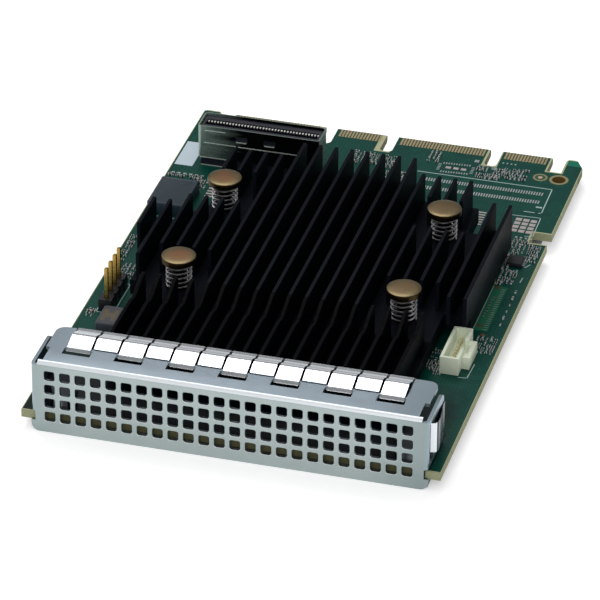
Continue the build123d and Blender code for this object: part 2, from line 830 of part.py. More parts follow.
# Chip capacitors and resistors on the upper face, each kind as one node
capacitor_size = 0.55
capacitor_rows = (
    (right_side - 5.6, 22.9, 3, 3, 1.1),
    (right_side - 1.7, 20.0, 1, 5, 1.2),
    (right_side - 5.1, 12.4, 3, 3, 1.1),
    (right_side - 4.2, -1.6, 1, 6, 1.1),
    (right_side - 2.2, -13.4, 3, 3, 1.1),
    (right_side - 10.4, -20.4, 2, 4, 1.2),
    (left_side + 2.4, 31.2, 3, 1, 1.1),
    (left_side + 6.4, 30.6, 3, 1, 1.1),
    (left_side + 4.8, -6.2, 2, 3, 1.2),
    (13.0, 49.0, 4, 2, 1.2),
    (25.2, 49.2, 4, 2, 1.2),
    (3.2, 42.0, 3, 2, 1.2),
)
with BuildPart() as chip_capacitors:
    with BuildSketch(Plane.XY.offset(board_top)):
        with Locations(*chip_rows(capacitor_rows, capacitor_size)):
            Rectangle(capacitor_size / 1.2, capacitor_size)
    extrude(amount=capacitor_size)
save(chip_capacitors.part, "chip_capacitors")

# Chip capacitors on the underside, behind the controller
underside_size = 0.6
underside_length = 1.0
underside_spacing = 3.6
underside_lines = 5
with BuildPart() as underside_capacitors:
    with BuildSketch(Plane.XY.offset(board_underside - underside_size)):
        with Locations((0, pin_centre_y)):
            with GridLocations(underside_spacing, underside_spacing, underside_lines, underside_lines):
                Rectangle(underside_length, underside_size)
    extrude(amount=underside_size)
save(underside_capacitors.part, "underside_capacitors")

# Paper label beside the storage connector
label_thickness = 0.1
label_width = 3.6
label_length = 9.2
label_gap = 0.75
label_x = shell_left - label_gap - label_width / 2
label_y = 39.6
with BuildPart() as paper_label:
    with BuildSketch(Plane.XY.offset(board_top)):
        with Locations((label_x, label_y)):
            Rectangle(label_width, label_length)
    extrude(amount=label_thickness)
save(paper_label.part, "paper_label")
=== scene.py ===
import random
from functools import reduce
from math import cos, pi, radians, sin

import bpy
from bpy.props import FloatProperty, FloatVectorProperty, IntProperty, PointerProperty
from bpy.types import Operator, Panel, PropertyGroup
from mathutils import Matrix, Vector


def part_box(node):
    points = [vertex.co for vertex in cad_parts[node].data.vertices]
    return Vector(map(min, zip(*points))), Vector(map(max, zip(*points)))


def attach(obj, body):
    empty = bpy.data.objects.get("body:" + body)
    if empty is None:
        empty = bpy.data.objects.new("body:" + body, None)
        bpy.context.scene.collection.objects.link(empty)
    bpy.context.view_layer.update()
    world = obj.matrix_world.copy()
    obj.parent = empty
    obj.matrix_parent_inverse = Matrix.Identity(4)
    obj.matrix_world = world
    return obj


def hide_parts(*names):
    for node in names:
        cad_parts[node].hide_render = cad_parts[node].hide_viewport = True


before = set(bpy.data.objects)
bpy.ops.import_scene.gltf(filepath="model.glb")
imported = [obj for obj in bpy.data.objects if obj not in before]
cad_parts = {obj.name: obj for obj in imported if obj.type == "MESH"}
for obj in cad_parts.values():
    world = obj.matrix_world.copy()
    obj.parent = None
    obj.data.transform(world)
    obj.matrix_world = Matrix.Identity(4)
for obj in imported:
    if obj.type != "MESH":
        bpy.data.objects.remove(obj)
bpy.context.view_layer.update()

bl_info = {
    "name": "Storage controller card",
    "version": (1, 0, 0),
    "blender": (4, 5, 0),
    "location": "3D View > Sidebar > Controller card",
    "description": "Models and finishes a storage controller card round its packed CAD frame",
    "category": "Add Mesh",
}

# Everything in the piece operators is written in millimetres and turned into metres once.
MM = 0.001
BOARD_TOP = 3.5
BOARD_UNDERSIDE = 1.93
BOARD_FRONT, BOARD_REAR, BOARD_HALF_WIDTH = -56.8, 57.5, 38.0
LOCATING_HOLE = (34.6, 49.15)
TEST_RING = (30.97, 49.15)
BRACKET_SHEET = 0.6
# how deep pads and print sink into the board's face, so that no gap shows
SUNK = 0.01


def tone(red, green, blue):
    """Linear colour of a tone that a picture shows as these 0-255 values."""
    parts = [value / 255 for value in (red, green, blue)]
    return tuple(p / 12.92 if p <= 0.04045 else ((p + 0.055) / 1.055) ** 2.4 for p in parts)


def colour_setting(name, description, default):
    """A colour that a user can change, its default a linear one."""
    return FloatVectorProperty(
        name=name, description=description, default=default, size=3, subtype="COLOR", min=0, max=1
    )


def length_setting(name, description, default):
    """A length that a user can change, its default in mm."""
    return FloatProperty(name=name, description=description, default=default * MM, unit="LENGTH", min=0)


class CardSizes(PropertyGroup):
    """Sizes of the pieces that are finer than the frame's"""
    vent_corner: length_setting("Vent corner", "Rounding of the corners of each vent in the bracket", 0.42)
    punch_edge: length_setting("Punched edge", "Rounding that the punch leaves round each vent", 0.07)
    fin_edge: length_setting("Fin edge", "Rounding along the edges of the fins", 0.06)
    wire: length_setting("Spring wire", "Diameter of the wire of the pin springs", 0.34)
    spring: length_setting("Spring", "Outside diameter of the pin springs", 4.9)
    turns: FloatProperty(name="Turns", description="Turns of wire in each pin spring", default=5.4, min=1)
    pin_head: length_setting("Pin head", "Diameter of the heads of the push pins", 6.4)
    head_crown: length_setting("Head crown", "How far a pin head rises above its rim", 0.12)
    roundness: IntProperty(name="Roundness", description="Sides of each turned piece", default=40, min=8)


class CardColours(PropertyGroup):
    """Colours of the card's substances"""
    solder_mask: colour_setting("Solder mask", "Green coating of the board", tone(1, 60, 52))
    mask_light: colour_setting("Covered copper", "Mask where copper runs under it", tone(18, 86, 66))
    laminate: colour_setting("Laminate", "Cut edge and bare rim of the board", tone(166, 168, 134))
    gold: colour_setting("Gold", "Plating of the card-edge contacts", tone(196, 178, 140))
    zinc: colour_setting("Zinc", "Plating of the bracket", tone(162, 174, 173))
    strip: colour_setting("Strip", "Bright spring steel of the grounding fingers", tone(214, 219, 224))
    anodised: colour_setting("Anodised", "Black finish of the heatsink", tone(16, 19, 26))
    brass: colour_setting("Brass", "Heads of the push pins", tone(114, 101, 74))
    wire: colour_setting("Wire", "Springs of the push pins", tone(206, 206, 208))
    shell: colour_setting("Shell", "Metal shell of the storage connector", tone(132, 150, 142))
    plastic: colour_setting("Plastic", "Black plastic of chips and connectors", tone(19, 21, 26))
    nylon: colour_setting("Nylon", "Ivory plastic of the small header", tone(212, 220, 198))
    ferrite: colour_setting("Ferrite", "Slate-grey moulded inductor", tone(14, 40, 52))
    clay: colour_setting("Clay", "Tan top of the small inductor", tone(84, 74, 58))
    ceramic: colour_setting("Ceramic", "Bodies of the chip capacitors", tone(70, 60, 50))
    tin: colour_setting("Tin", "Solder and tinned ends", tone(176, 184, 184))
    ink: colour_setting("Ink", "White print on the board", tone(150, 172, 170))
    paper: colour_setting("Paper", "Bare label", tone(182, 196, 206))
    thermal_pad: colour_setting("Thermal pad", "Soft pads under the heatsink", tone(120, 124, 130))


class CardStudio(PropertyGroup):
    """Camera, lamps and sky"""
    camera: FloatVectorProperty(
        name="Camera", description="Place of the camera", size=3, subtype="TRANSLATION", unit="LENGTH",
        default=(203.66 * MM, -755.44 * MM, 466.23 * MM),
    )
    azimuth: FloatProperty(
        name="Azimuth", description="How far the camera stands round to the right", unit="ROTATION",
        default=radians(15.2885),
    )
    elevation: FloatProperty(
        name="Elevation", description="How far the camera looks down", unit="ROTATION",
        default=radians(30.821),
    )
    roll: FloatProperty(name="Roll", description="Tilt of the camera", unit="ROTATION", default=radians(0.3666))
    lens: FloatProperty(name="Lens", description="Focal length in millimetres on 36 mm", default=297.12, min=1)
    top_power: FloatProperty(name="Top lamp", description="Power of the soft lamp overhead", default=3.2, min=0)
    front_power: FloatProperty(name="Front lamp", description="Power of the soft lamp in front", default=4.0, min=0)
    side_power: FloatProperty(name="Side lamp", description="Power of the lamp at the left", default=2.0, min=0)
    sky: FloatProperty(name="Sky", description="Even light from all round", default=0.55, min=0)
    mirrored_sky: FloatProperty(name="Mirrored sky", description="Sky that shiny faces show", default=0.3, min=0)


# ---- selecting and shaping, as by hand


def deselect():
    """Leave edit mode, with nothing selected."""
    if bpy.context.object and bpy.context.object.mode != "OBJECT":
        bpy.ops.object.mode_set(mode="OBJECT")
    bpy.ops.object.select_all(action="DESELECT")


def choose(piece):
    """Select one piece alone and make it active."""
    deselect()
    piece.select_set(True)
    bpy.context.view_layer.objects.active = piece


def edit(piece, mode):
    """Enter edit mode on one piece with nothing selected."""
    choose(piece)
    bpy.ops.object.mode_set(mode="EDIT")
    bpy.ops.mesh.select_mode(type=mode)
    bpy.ops.mesh.select_all(action="DESELECT")


def edit_all(piece, mode):
    """Enter edit mode on one piece with all of it selected."""
    edit(piece, mode)
    bpy.ops.mesh.select_all(action="SELECT")


def leave_edit():
    bpy.ops.object.mode_set(mode="OBJECT")


def face_outwards():
    """Turn every face of the piece outwards, and leave edit mode."""
    bpy.ops.mesh.select_all(action="SELECT")
    bpy.ops.mesh.normals_make_consistent(inside=False)
    leave_edit()


def pick_faces(piece, test):
    """Select the faces whose centre (mm) and normal pass the test, and stay in edit mode."""
    edit(piece, "FACE")
    leave_edit()
    for face in piece.data.polygons:
        face.select = test(face.center / MM, face.normal)
    bpy.ops.object.mode_set(mode="EDIT")


def pick_edges(piece, test):
    """Select the edges whose two ends (mm) pass the test, and stay in edit mode."""
    edit(piece, "EDGE")
    leave_edit()
    places = [vertex.co / MM for vertex in piece.data.vertices]
    for edge in piece.data.edges:
        start, end = edge.vertices
        edge.select = test(places[start], places[end])
    bpy.ops.object.mode_set(mode="EDIT")


def block(low, high):
    """A rectangular block between two corners in mm."""
    deselect()
    middle = [(a + b) / 2 * MM for a, b in zip(low, high)]
    size = [(b - a) * MM for a, b in zip(low, high)]
    bpy.ops.mesh.primitive_cube_add(size=1, location=middle, scale=size)
    bpy.ops.object.transform_apply(location=True, rotation=True, scale=True)
    return bpy.context.object


def turned(profile, centre, sides):
    """A turned piece: a disc pushed out ring by ring along (radius, height) in mm."""
    deselect()
    x, y = centre[0] * MM, centre[1] * MM
    radius, height = profile[0]
    bpy.ops.mesh.primitive_circle_add(
        vertices=sides, radius=radius * MM, fill_type="NGON", location=(x, y, height * MM)
    )
    bpy.ops.object.transform_apply(location=True)
    piece = bpy.context.object
    edit_all(piece, "FACE")
    for next_radius, next_height in profile[1:]:
        rise = next_height - height
        bpy.ops.mesh.extrude_region_move(TRANSFORM_OT_translate={"value": (0, 0, rise * MM)})
        share = next_radius / radius
        bpy.ops.transform.resize(value=(share, share, 1), center_override=(x, y, next_height * MM))
        radius, height = next_radius, next_height
    face_outwards()
    return piece


def ribbon(profile, low_x, high_x, thickness):
    """A bent strip of sheet: an edge pulled along (y, z) in mm, then given its thickness outwards."""
    deselect()
    (start_y, start_z), (next_y, next_z) = profile[:2]
    bpy.ops.mesh.primitive_plane_add(size=1, location=(0, 0, 0))
    piece = bpy.context.object
    for vertex in piece.data.vertices:
        along = vertex.co.y > 0
        vertex.co = Vector((
            (high_x if vertex.co.x > 0 else low_x) * MM,
            (next_y if along else start_y) * MM,
            (next_z if along else start_z) * MM,
        ))
    y, z = next_y, next_z
    close = 1e-4
    pick_edges(piece, lambda a, b: abs(a.y - y) < close and abs(b.y - y) < close and abs(a.z - b.z) < close)
    for new_y, new_z in profile[2:]:
        bpy.ops.mesh.extrude_region_move(
            TRANSFORM_OT_translate={"value": (0, (new_y - y) * MM, (new_z - z) * MM)}
        )
        y, z = new_y, new_z
    leave_edit()
    thicken(piece, thickness)
    return piece


def modify(piece, kind, **settings):
    """Give one piece a modifier with these settings, and apply it."""
    choose(piece)
    modifier = piece.modifiers.new(kind.lower(), kind)
    for name, value in settings.items():
        setattr(modifier, name, value)
    bpy.ops.object.modifier_apply(modifier=modifier.name)


def thicken(piece, thickness, offset=1):
    """Give a sheet its thickness in mm, outwards from its faces or, with offset -1, inwards."""
    modify(piece, "SOLIDIFY", thickness=thickness * MM, offset=offset)


def round_edges(piece, width, segments=2):
    """Round every edge sharper than 35 degrees by a width in mm."""
    modify(piece, "BEVEL", width=width * MM, segments=segments, limit_method="ANGLE", angle_limit=radians(35))


def repeat(piece, count, step):
    """A row of the piece, one step (mm) apart."""
    modify(piece, "ARRAY", count=count, use_relative_offset=False, use_constant_offset=True,
           constant_offset_displace=[value * MM for value in step])
    return piece


def join(pieces):
    """Make one piece of several, each a shell of its own."""
    deselect()
    for piece in pieces:
        piece.select_set(True)
    bpy.context.view_layer.objects.active = pieces[0]
    if len(pieces) > 1:
        bpy.ops.object.join()
    return pieces[0]


def copies(piece, places):
    """One piece made of copies of another at (x, y, z, turn in degrees, size), each in mm."""
    made = []
    for x, y, z, turn, size in places:
        mesh = piece.data.copy()
        mesh.transform(Matrix.Translation((x * MM, y * MM, z * MM)) @ Matrix.Rotation(radians(turn), 4, "Z")
                       @ Matrix.Diagonal((size, size, size, 1)))
        copy = bpy.data.objects.new(piece.name, mesh)
        bpy.context.scene.collection.objects.link(copy)
        made.append(copy)
    bpy.data.objects.remove(piece)
    return join(made)


def from_frame(node, flatten=True):
    """A new piece that starts from a CAD node's shape, its loose triangles merged."""
    piece = bpy.data.objects.new(node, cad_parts[node].data.copy())
    bpy.context.scene.collection.objects.link(piece)
    choose(piece)
    if piece.data.has_custom_normals:
        bpy.ops.mesh.customdata_custom_splitnormals_clear()
    edit_all(piece, "VERT")
    bpy.ops.mesh.remove_doubles(threshold=0.002 * MM)
    if flatten:
        bpy.ops.mesh.dissolve_limited(angle_limit=radians(0.5))
    leave_edit()
    return piece


def place(piece, name, slot, material, *nodes):
    """Finish a piece: its name, its material, what it rides on and what it stands for."""
    piece.name = name
    piece.data.name = name
    piece.data.materials.clear()
    piece.data.materials.append(material)
    choose(piece)
    bpy.ops.object.shade_smooth_by_angle(angle=radians(32))
    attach(piece, "root")
    if nodes:
        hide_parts(*nodes)


def dress(material, *nodes):
    """Give CAD nodes that stay as they are their material."""
    for node in nodes:
        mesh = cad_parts[node].data
        mesh.materials.clear()
        mesh.materials.append(material)


# ---- node groups and materials


def feed(tree, node, inputs):
    """Set a node's inputs to values, or link them to other nodes' outputs."""
    for name, value in inputs.items():
        if isinstance(value, bpy.types.NodeSocket):
            tree.links.new(value, node.inputs[name])
        else:
            node.inputs[name].default_value = value


def add(tree, kind, inputs=None, **settings):
    """Add a node with its settings and its inputs."""
    made = tree.nodes.new(kind)
    for name, value in settings.items():
        setattr(made, name, value)
    feed(tree, made, inputs or {})
    return made


def combine(tree, operation, first, second, clamp=False):
    """Two values through one step of arithmetic."""
    return add(tree, "ShaderNodeMath", {0: first, 1: second}, operation=operation, use_clamp=clamp).outputs[0]


def product(tree, *values):
    """Masks and their strengths multiplied together."""
    return reduce(lambda first, second: combine(tree, "MULTIPLY", first, second), values)


def union(tree, *masks):
    """A mask of all that any of several masks covers."""
    return reduce(lambda first, second: combine(tree, "MAXIMUM", first, second), masks)


def opposite(tree, mask):
    """A mask of all that another leaves out."""
    return combine(tree, "SUBTRACT", 1.0, mask)


def separate(tree, vector):
    """The X, Y and Z outputs of a vector."""
    return add(tree, "ShaderNodeSeparateXYZ", {0: vector}).outputs


def in_mm(tree, where, axis):
    """One coordinate of a place on the piece, in millimetres."""
    return combine(tree, "DIVIDE", separate(tree, where)[axis], MM)


def ramp(tree, value, start, end):
    """A value that goes from 0 at the start to 1 at the end, and stays level beyond them."""
    return combine(tree, "DIVIDE", combine(tree, "SUBTRACT", value, start), end - start, clamp=True)


def group(name, inputs, outputs):
    """A new node group with named sockets, and its input and output nodes."""
    tree = bpy.data.node_groups.new(name, "ShaderNodeTree")
    for label, kind, default in inputs:
        socket = tree.interface.new_socket(label, in_out="INPUT", socket_type=f"NodeSocket{kind}")
        if default is not None:
            socket.default_value = default
    for label, kind in outputs:
        tree.interface.new_socket(label, in_out="OUTPUT", socket_type=f"NodeSocket{kind}")
    return tree, tree.nodes.new("NodeGroupInput").outputs, tree.nodes.new("NodeGroupOutput").inputs


def uneven_group():
    """Uneven tone and sheen: soft cloudy patches, with finer specks over them."""
    tree, given, result = group(
        "uneven_finish",
        [("Vector", "Vector", None), ("Colour", "Color", (0.5, 0.5, 0.5, 1)), ("Patch Size", "Float", 4.0),
         ("Contrast", "Float", 0.2), ("Roughness", "Float", 0.5), ("Roughness Spread", "Float", 0.1)],
        [("Colour", "Color"), ("Roughness", "Float")],
    )
    scale = combine(tree, "DIVIDE", 1 / MM, given["Patch Size"])
    clouds = add(tree, "ShaderNodeTexNoise", {"Vector": given["Vector"], "Scale": scale, "Detail": 3.0,
                                              "Roughness": 0.6}).outputs["Fac"]
    specks = add(tree, "ShaderNodeTexNoise", {"Vector": given["Vector"], "Scale": product(tree, scale, 7.0),
                                              "Detail": 2.0}).outputs["Fac"]
    mixed = combine(tree, "ADD", product(tree, clouds, 0.65), product(tree, specks, 0.35))
    centred = combine(tree, "SUBTRACT", mixed, 0.5)
    gain = combine(tree, "ADD", 1.0, product(tree, centred, given["Contrast"]))
    shade = add(tree, "ShaderNodeVectorMath", {0: given["Colour"], "Scale": gain}, operation="SCALE")
    tree.links.new(shade.outputs[0], result["Colour"])
    spread = product(tree, centred, given["Roughness Spread"])
    tree.links.new(combine(tree, "ADD", given["Roughness"], spread, clamp=True), result["Roughness"])
    return tree


def drawn_group():
    """Fine lines along one direction, as rolling, drawing or extruding leaves them."""
    tree, given, result = group(
        "drawn_lines",
        [("Vector", "Vector", None), ("Stretch", "Vector", (1.0, 0.03, 1.0)), ("Line Width", "Float", 0.12)],
        [("Height", "Float")],
    )
    stretched = add(tree, "ShaderNodeVectorMath", {0: given["Vector"], 1: given["Stretch"]},
                    operation="MULTIPLY").outputs[0]
    lines = add(tree, "ShaderNodeTexNoise", {"Vector": stretched, "Detail": 2.0,
                                             "Scale": combine(tree, "DIVIDE", 1 / MM, given["Line Width"])})
    tree.links.new(lines.outputs["Fac"], result["Height"])
    return tree


def from_centre(tree, given):
    """How far a place lies from a mask's centre along X and along Y, in millimetres."""
    return [combine(tree, "SUBTRACT", in_mm(tree, given["Vector"], axis), given[f"Centre {axis}"]) for axis in "XY"]


def rectangle_group():
    """A mask that is 1 inside a rectangle seen from above, in millimetres."""
    tree, given, result = group(
        "rectangle",
        [("Vector", "Vector", None), ("Centre X", "Float", 0.0), ("Centre Y", "Float", 0.0),
         ("Half Width", "Float", 1.0), ("Half Length", "Float", 1.0)],
        [("Mask", "Float")],
    )
    inside = [combine(tree, "LESS_THAN", combine(tree, "ABSOLUTE", offset, 0.0), given[half])
              for offset, half in zip(from_centre(tree, given), ("Half Width", "Half Length"))]
    tree.links.new(product(tree, *inside), result["Mask"])
    return tree


def disc_group():
    """A mask that is 1 inside a circle seen from above, in millimetres."""
    tree, given, result = group(
        "disc",
        [("Vector", "Vector", None), ("Centre X", "Float", 0.0), ("Centre Y", "Float", 0.0),
         ("Radius", "Float", 1.0)],
        [("Mask", "Float")],
    )
    squares = [combine(tree, "POWER", offset, 2.0) for offset in from_centre(tree, given)]
    distance = combine(tree, "POWER", combine(tree, "ADD", *squares), 0.5)
    tree.links.new(combine(tree, "LESS_THAN", distance, given["Radius"]), result["Mask"])
    return tree


GROUP_MAKERS = {"uneven_finish": uneven_group, "drawn_lines": drawn_group, "rectangle": rectangle_group,
                "disc": disc_group}
GROUPS = {}
FINISHES = {}


def use(tree, name, inputs):
    """Use the node group of that name, which is built at its first use."""
    if name not in GROUPS:
        GROUPS[name] = GROUP_MAKERS[name]()
    made = tree.nodes.new("ShaderNodeGroup")
    made.node_tree = GROUPS[name]
    feed(tree, made, inputs)
    return made.outputs


def new_material(name):
    """A material with its tree, its shader and the place of each point on the piece."""
    material = bpy.data.materials.new(name)
    material.use_nodes = True
    tree = material.node_tree
    shader = tree.nodes["Principled BSDF"]
    where = tree.nodes.new("ShaderNodeTexCoord").outputs["Object"]
    return material, tree, shader, where


def rgba(colour):
    return (*colour, 1.0)


def facing(tree, axis, sign=1, level=0.6):
    """A mask of the faces whose normal points along an axis."""
    normal = add(tree, "ShaderNodeNewGeometry").outputs["Normal"]
    return combine(tree, "GREATER_THAN", product(tree, separate(tree, normal)[axis], sign), level)


def blend(tree, mask, under, over):
    """One colour where the mask is 0, and another where it is 1."""
    return add(tree, "ShaderNodeMix", {0: mask, 6: under, 7: over}, data_type="RGBA").outputs[2]


def lay_over(tree, mask, colour, over):
    """A plain tone laid over a colour where the mask is 1."""
    return blend(tree, mask, colour, rgba(over))


def rectangle(tree, where, x, y, half_width, half_length):
    """A mask of a rectangle seen from above, in mm."""
    return use(tree, "rectangle", {"Vector": where, "Centre X": x, "Centre Y": y, "Half Width": half_width,
                                   "Half Length": half_length})["Mask"]


def disc(tree, where, x, y, radius):
    """A mask of a circle seen from above, in mm."""
    return use(tree, "disc", {"Vector": where, "Centre X": x, "Centre Y": y, "Radius": radius})["Mask"]


def uneven(tree, where, colour, patch, contrast, roughness, spread):
    """A colour and a roughness with soft patches and fine specks in them."""
    return use(tree, "uneven_finish", {"Vector": where, "Colour": colour, "Patch Size": patch, "Contrast": contrast,
                                       "Roughness": roughness, "Roughness Spread": spread})


def surface(name, colour, roughness, metallic=0.0, patch=3.0, contrast=0.25, spread=0.15, lines=None,
            line_width=0.12, bump=0.0, gloss=0.5, tints=None):
    """A material of one substance: uneven tone and sheen, and a fine relief of lines or grain.

    tints lays other tones over it before the unevenness: marks the piece has, and painted light and shade.
    """
    if name in FINISHES:
        return FINISHES[name]
    material, tree, shader, where = new_material(name)
    FINISHES[name] = material
    toned = tints(tree, where, rgba(colour)) if tints else rgba(colour)
    finish = uneven(tree, where, toned, patch, contrast, roughness, spread)
    tree.links.new(finish["Colour"], shader.inputs["Base Color"])
    tree.links.new(finish["Roughness"], shader.inputs["Roughness"])
    shader.inputs["Metallic"].default_value = metallic
    shader.inputs["Specular IOR Level"].default_value = gloss
    height = use(tree, "drawn_lines", {"Vector": where, "Stretch": lines or (1.0, 1.0, 1.0),
                                       "Line Width": line_width})["Height"]
    relief = add(tree, "ShaderNodeBump", {"Height": height, "Strength": bump, "Distance": 0.02 * MM})
    tree.links.new(relief.outputs["Normal"], shader.inputs["Normal"])
    return material


def colours():
    return bpy.context.scene.card_colours


def sizes():
    return bpy.context.scene.card_sizes


def copper_under_mask(tree, where):
    """Runs of parallel tracks in cloudy regions, and dots of vias."""
    axes = separate(tree, where)
    regions = add(tree, "ShaderNodeTexNoise", {"Vector": where, "Scale": 130.0, "Detail": 1.0}).outputs["Fac"]
    runs = []
    for axis, pitch, test, level in (("X", 0.62, "GREATER_THAN", 0.54), ("Y", 0.74, "LESS_THAN", 0.44)):
        wave = combine(tree, "SINE", product(tree, axes[axis], 2 * pi / (pitch * MM)), 0.0)
        line = combine(tree, "GREATER_THAN", wave, 0.35)
        runs.append(product(tree, line, combine(tree, test, regions, level)))
    tracks = union(tree, *runs)
    cells = add(tree, "ShaderNodeTexVoronoi", {"Vector": where, "Scale": 620.0, "Randomness": 0.75})
    vias = combine(tree, "LESS_THAN", cells.outputs["Distance"], 0.12)
    return union(tree, product(tree, tracks, 0.35), product(tree, vias, 0.9))


def coated_faces(tree, where, copper):
    """Solder mask over copper, with the footprint that the upper face has, and shade painted on the upper face under
    the bracket and across the front.
    """
    coated = lay_over(tree, copper, rgba(colours().solder_mask), colours().mask_light)
    upper = facing(tree, "Z")
    # painted shade on the upper face under the bracket
    under_bracket = rectangle(tree, where, 0.0, -50.4, 35.9, 6.4)
    coated = lay_over(tree, product(tree, under_bracket, upper), coated, tone(8, 18, 20))
    # painted shade across the front of the upper face, deepening towards the front and fading out at the right edge
    from_side = ramp(tree, in_mm(tree, where, "X"), 37.4, 34.0)
    to_front = ramp(tree, in_mm(tree, where, "Y"), -28.0, -38.0)
    coated = lay_over(tree, product(tree, from_side, to_front, 0.85, upper), coated, tone(8, 16, 20))
    footprint = rectangle(tree, where, 33.3, -0.6, 1.3, 8.1)
    coated = lay_over(tree, product(tree, footprint, 0.6, upper), coated, tone(44, 116, 84))
    rear_ear = rectangle(tree, where, 36.6, 57.0, 2.0, 1.9)
    return lay_over(tree, rear_ear, coated, tone(14, 104, 82))


def bare_rim(tree, where):
    """A mask of the rim along every cut edge, which the solder mask stops short of."""
    rim, side_rim = 0.34, 0.14
    middle, half_length = (BOARD_REAR + BOARD_FRONT) / 2, (BOARD_REAR - BOARD_FRONT) / 2
    inner = rectangle(tree, where, 0.0, middle, BOARD_HALF_WIDTH - side_rim, half_length - rim)
    # (x, y, half width, half length) of the key slots, the gaps beside the tongues and the side notch
    cuts = ((20.5, 54.25, 1.2, 3.25), (-0.7, 54.25, 1.2, 3.25), (-13.1, 54.25, 1.2, 3.25),
            (33.0, 54.7, 1.4, 2.8), (-33.0, 54.7, 1.4, 2.8), (BOARD_HALF_WIDTH, 26.5, 3.6, 2.0))
    rims = [rectangle(tree, where, x, y, wide + rim, long + rim) for x, y, wide, long in cuts]
    return union(tree, opposite(tree, inner), *rims)


def cut_edges(tree, where):
    """Glass layers on the board's cut edges, dimmed where they are hidden from the light."""
    layer_pitch = 0.26 * MM
    wave = combine(tree, "SINE", product(tree, separate(tree, where)["Z"], 2 * pi / layer_pitch), 0.0)
    layer = product(tree, combine(tree, "ADD", wave, 1.0), 0.5)
    dark = tuple(value * 0.62 for value in colours().laminate)
    edge = lay_over(tree, layer, rgba(colours().laminate), dark)
    behind_grille = product(tree, facing(tree, "Y", -1), rectangle(tree, where, 0.0, -56.0, 35.1, 3.0))
    edge = lay_over(tree, behind_grille, edge, tone(96, 94, 68))
    at_rear = combine(tree, "GREATER_THAN", in_mm(tree, where, "Y"), 50.0)
    edge = lay_over(tree, product(tree, facing(tree, "X"), at_rear, 0.6), edge, tone(96, 96, 72))
    return lay_over(tree, disc(tree, where, *LOCATING_HOLE, 1.4), edge, tone(104, 78, 40))


def board_material():
    """Solder mask over copper on the flat faces, a bare rim, and laminate on the cut edges."""
    material, tree, shader, where = new_material("solder_mask")
    flat = union(tree, facing(tree, "Z", 1, 0.5), facing(tree, "Z", -1, 0.5))
    copper = copper_under_mask(tree, where)
    bare = bare_rim(tree, where)
    faced = lay_over(tree, bare, coated_faces(tree, where, copper), colours().laminate)
    whole = blend(tree, flat, cut_edges(tree, where), faced)
    finish = uneven(tree, where, whole, patch=6.0, contrast=0.3, roughness=0.36, spread=0.15)
    tree.links.new(finish["Colour"], shader.inputs["Base Color"])
    shader.inputs["Specular IOR Level"].default_value = 0.12
    uncoated = opposite(tree, product(tree, flat, opposite(tree, bare)))
    roughness = combine(tree, "ADD", finish["Roughness"], product(tree, uncoated, 0.3))
    tree.links.new(roughness, shader.inputs["Roughness"])
    raised = add(tree, "ShaderNodeBump", {"Height": copper, "Strength": 0.35, "Distance": 0.03 * MM})
    tree.links.new(raised.outputs["Normal"], shader.inputs["Normal"])
    return material


def tinned():
    return surface("tinned_solder", colours().tin, 0.34, metallic=0.9, patch=0.6, contrast=0.4, bump=0.25)


def black_plastic():
    return surface("black_plastic", colours().plastic, 0.5, patch=1.2, contrast=0.3, line_width=0.06, bump=0.35,
                   gloss=0.3)


def soften_metal(finish, mask):
    """Let a metal scatter more of the light where the mask is 1."""
    tree = finish.node_tree
    metallic = opposite(tree, product(tree, mask, 0.7))
    tree.links.new(metallic, tree.nodes["Principled BSDF"].inputs["Metallic"])


def bright_steel():
    """Spring steel, which scatters more light where it curls down to the rear."""
    finish = surface("spring_steel", colours().strip, 0.2, metallic=1.0, patch=1.6, contrast=0.12,
                     lines=(1.0, 0.05, 1.0), line_width=0.08, bump=0.12)
    soften_metal(finish, facing(finish.node_tree, "Y", 1, 0.08))
    return finish


def zinc_steel():
    """Plated sheet of the bracket, with a painted highlight along its upper fold."""
    def fold(tree):
        """The bend between the face and the top flange, where the highlight is painted."""
        return product(tree, facing(tree, "Y", -1, 0.12), facing(tree, "Z", 1, 0.12))

    def tints(tree, where, colour):
        """Painted light and shade: a lighter top flange, shade in the slits between the fingers, a bluer tone on the
        side flanges, shade towards both ends and a highlight along the fold.
        """
        # painted light: the top flange a little lighter than the face
        toned = lay_over(tree, facing(tree, "Z", 1, 0.9), colour, tone(150, 162, 172))
        # painted shade on the flange under the fingers, which shows only in the slits
        under_strip = product(tree, facing(tree, "Z"), rectangle(tree, where, -0.45, -47.9, 30.8, 3.1))
        toned = lay_over(tree, under_strip, toned, tone(30, 33, 38))
        # painted light: a bluer tone on both side flanges
        sideways = union(tree, facing(tree, "X"), facing(tree, "X", -1))
        toned = lay_over(tree, sideways, toned, tone(160, 180, 192))
        # the light falls on the face a little left of its middle
        outward = combine(tree, "ABSOLUTE", combine(tree, "ADD", in_mm(tree, where, "X"), 2.0), 0.0)
        toned = lay_over(tree, product(tree, ramp(tree, outward, 26.0, 36.0), 0.35), toned, tone(90, 106, 112))
        # painted highlight along the fold
        return lay_over(tree, fold(tree), toned, tone(226, 232, 236))

    finish = surface("zinc_plated_steel", colours().zinc, 0.36, metallic=1.0, patch=2.2, contrast=0.16,
                     spread=0.12, lines=(0.04, 1.0, 1.0), line_width=0.1, bump=0.14, tints=tints)
    # less metallic along the fold, so that its painted highlight shows
    soften_metal(finish, fold(finish.node_tree))
    return finish


def fastener_steel():
    return surface("fastener_steel", tone(104, 108, 112), 0.34, metallic=1.0, patch=1.0, contrast=0.3, bump=0.2)


def gold():
    return surface("gold_plating", colours().gold, 0.33, metallic=1.0, patch=0.9, contrast=0.2,
                   lines=(1.0, 0.04, 1.0), line_width=0.05, bump=0.2)


# ---- pieces


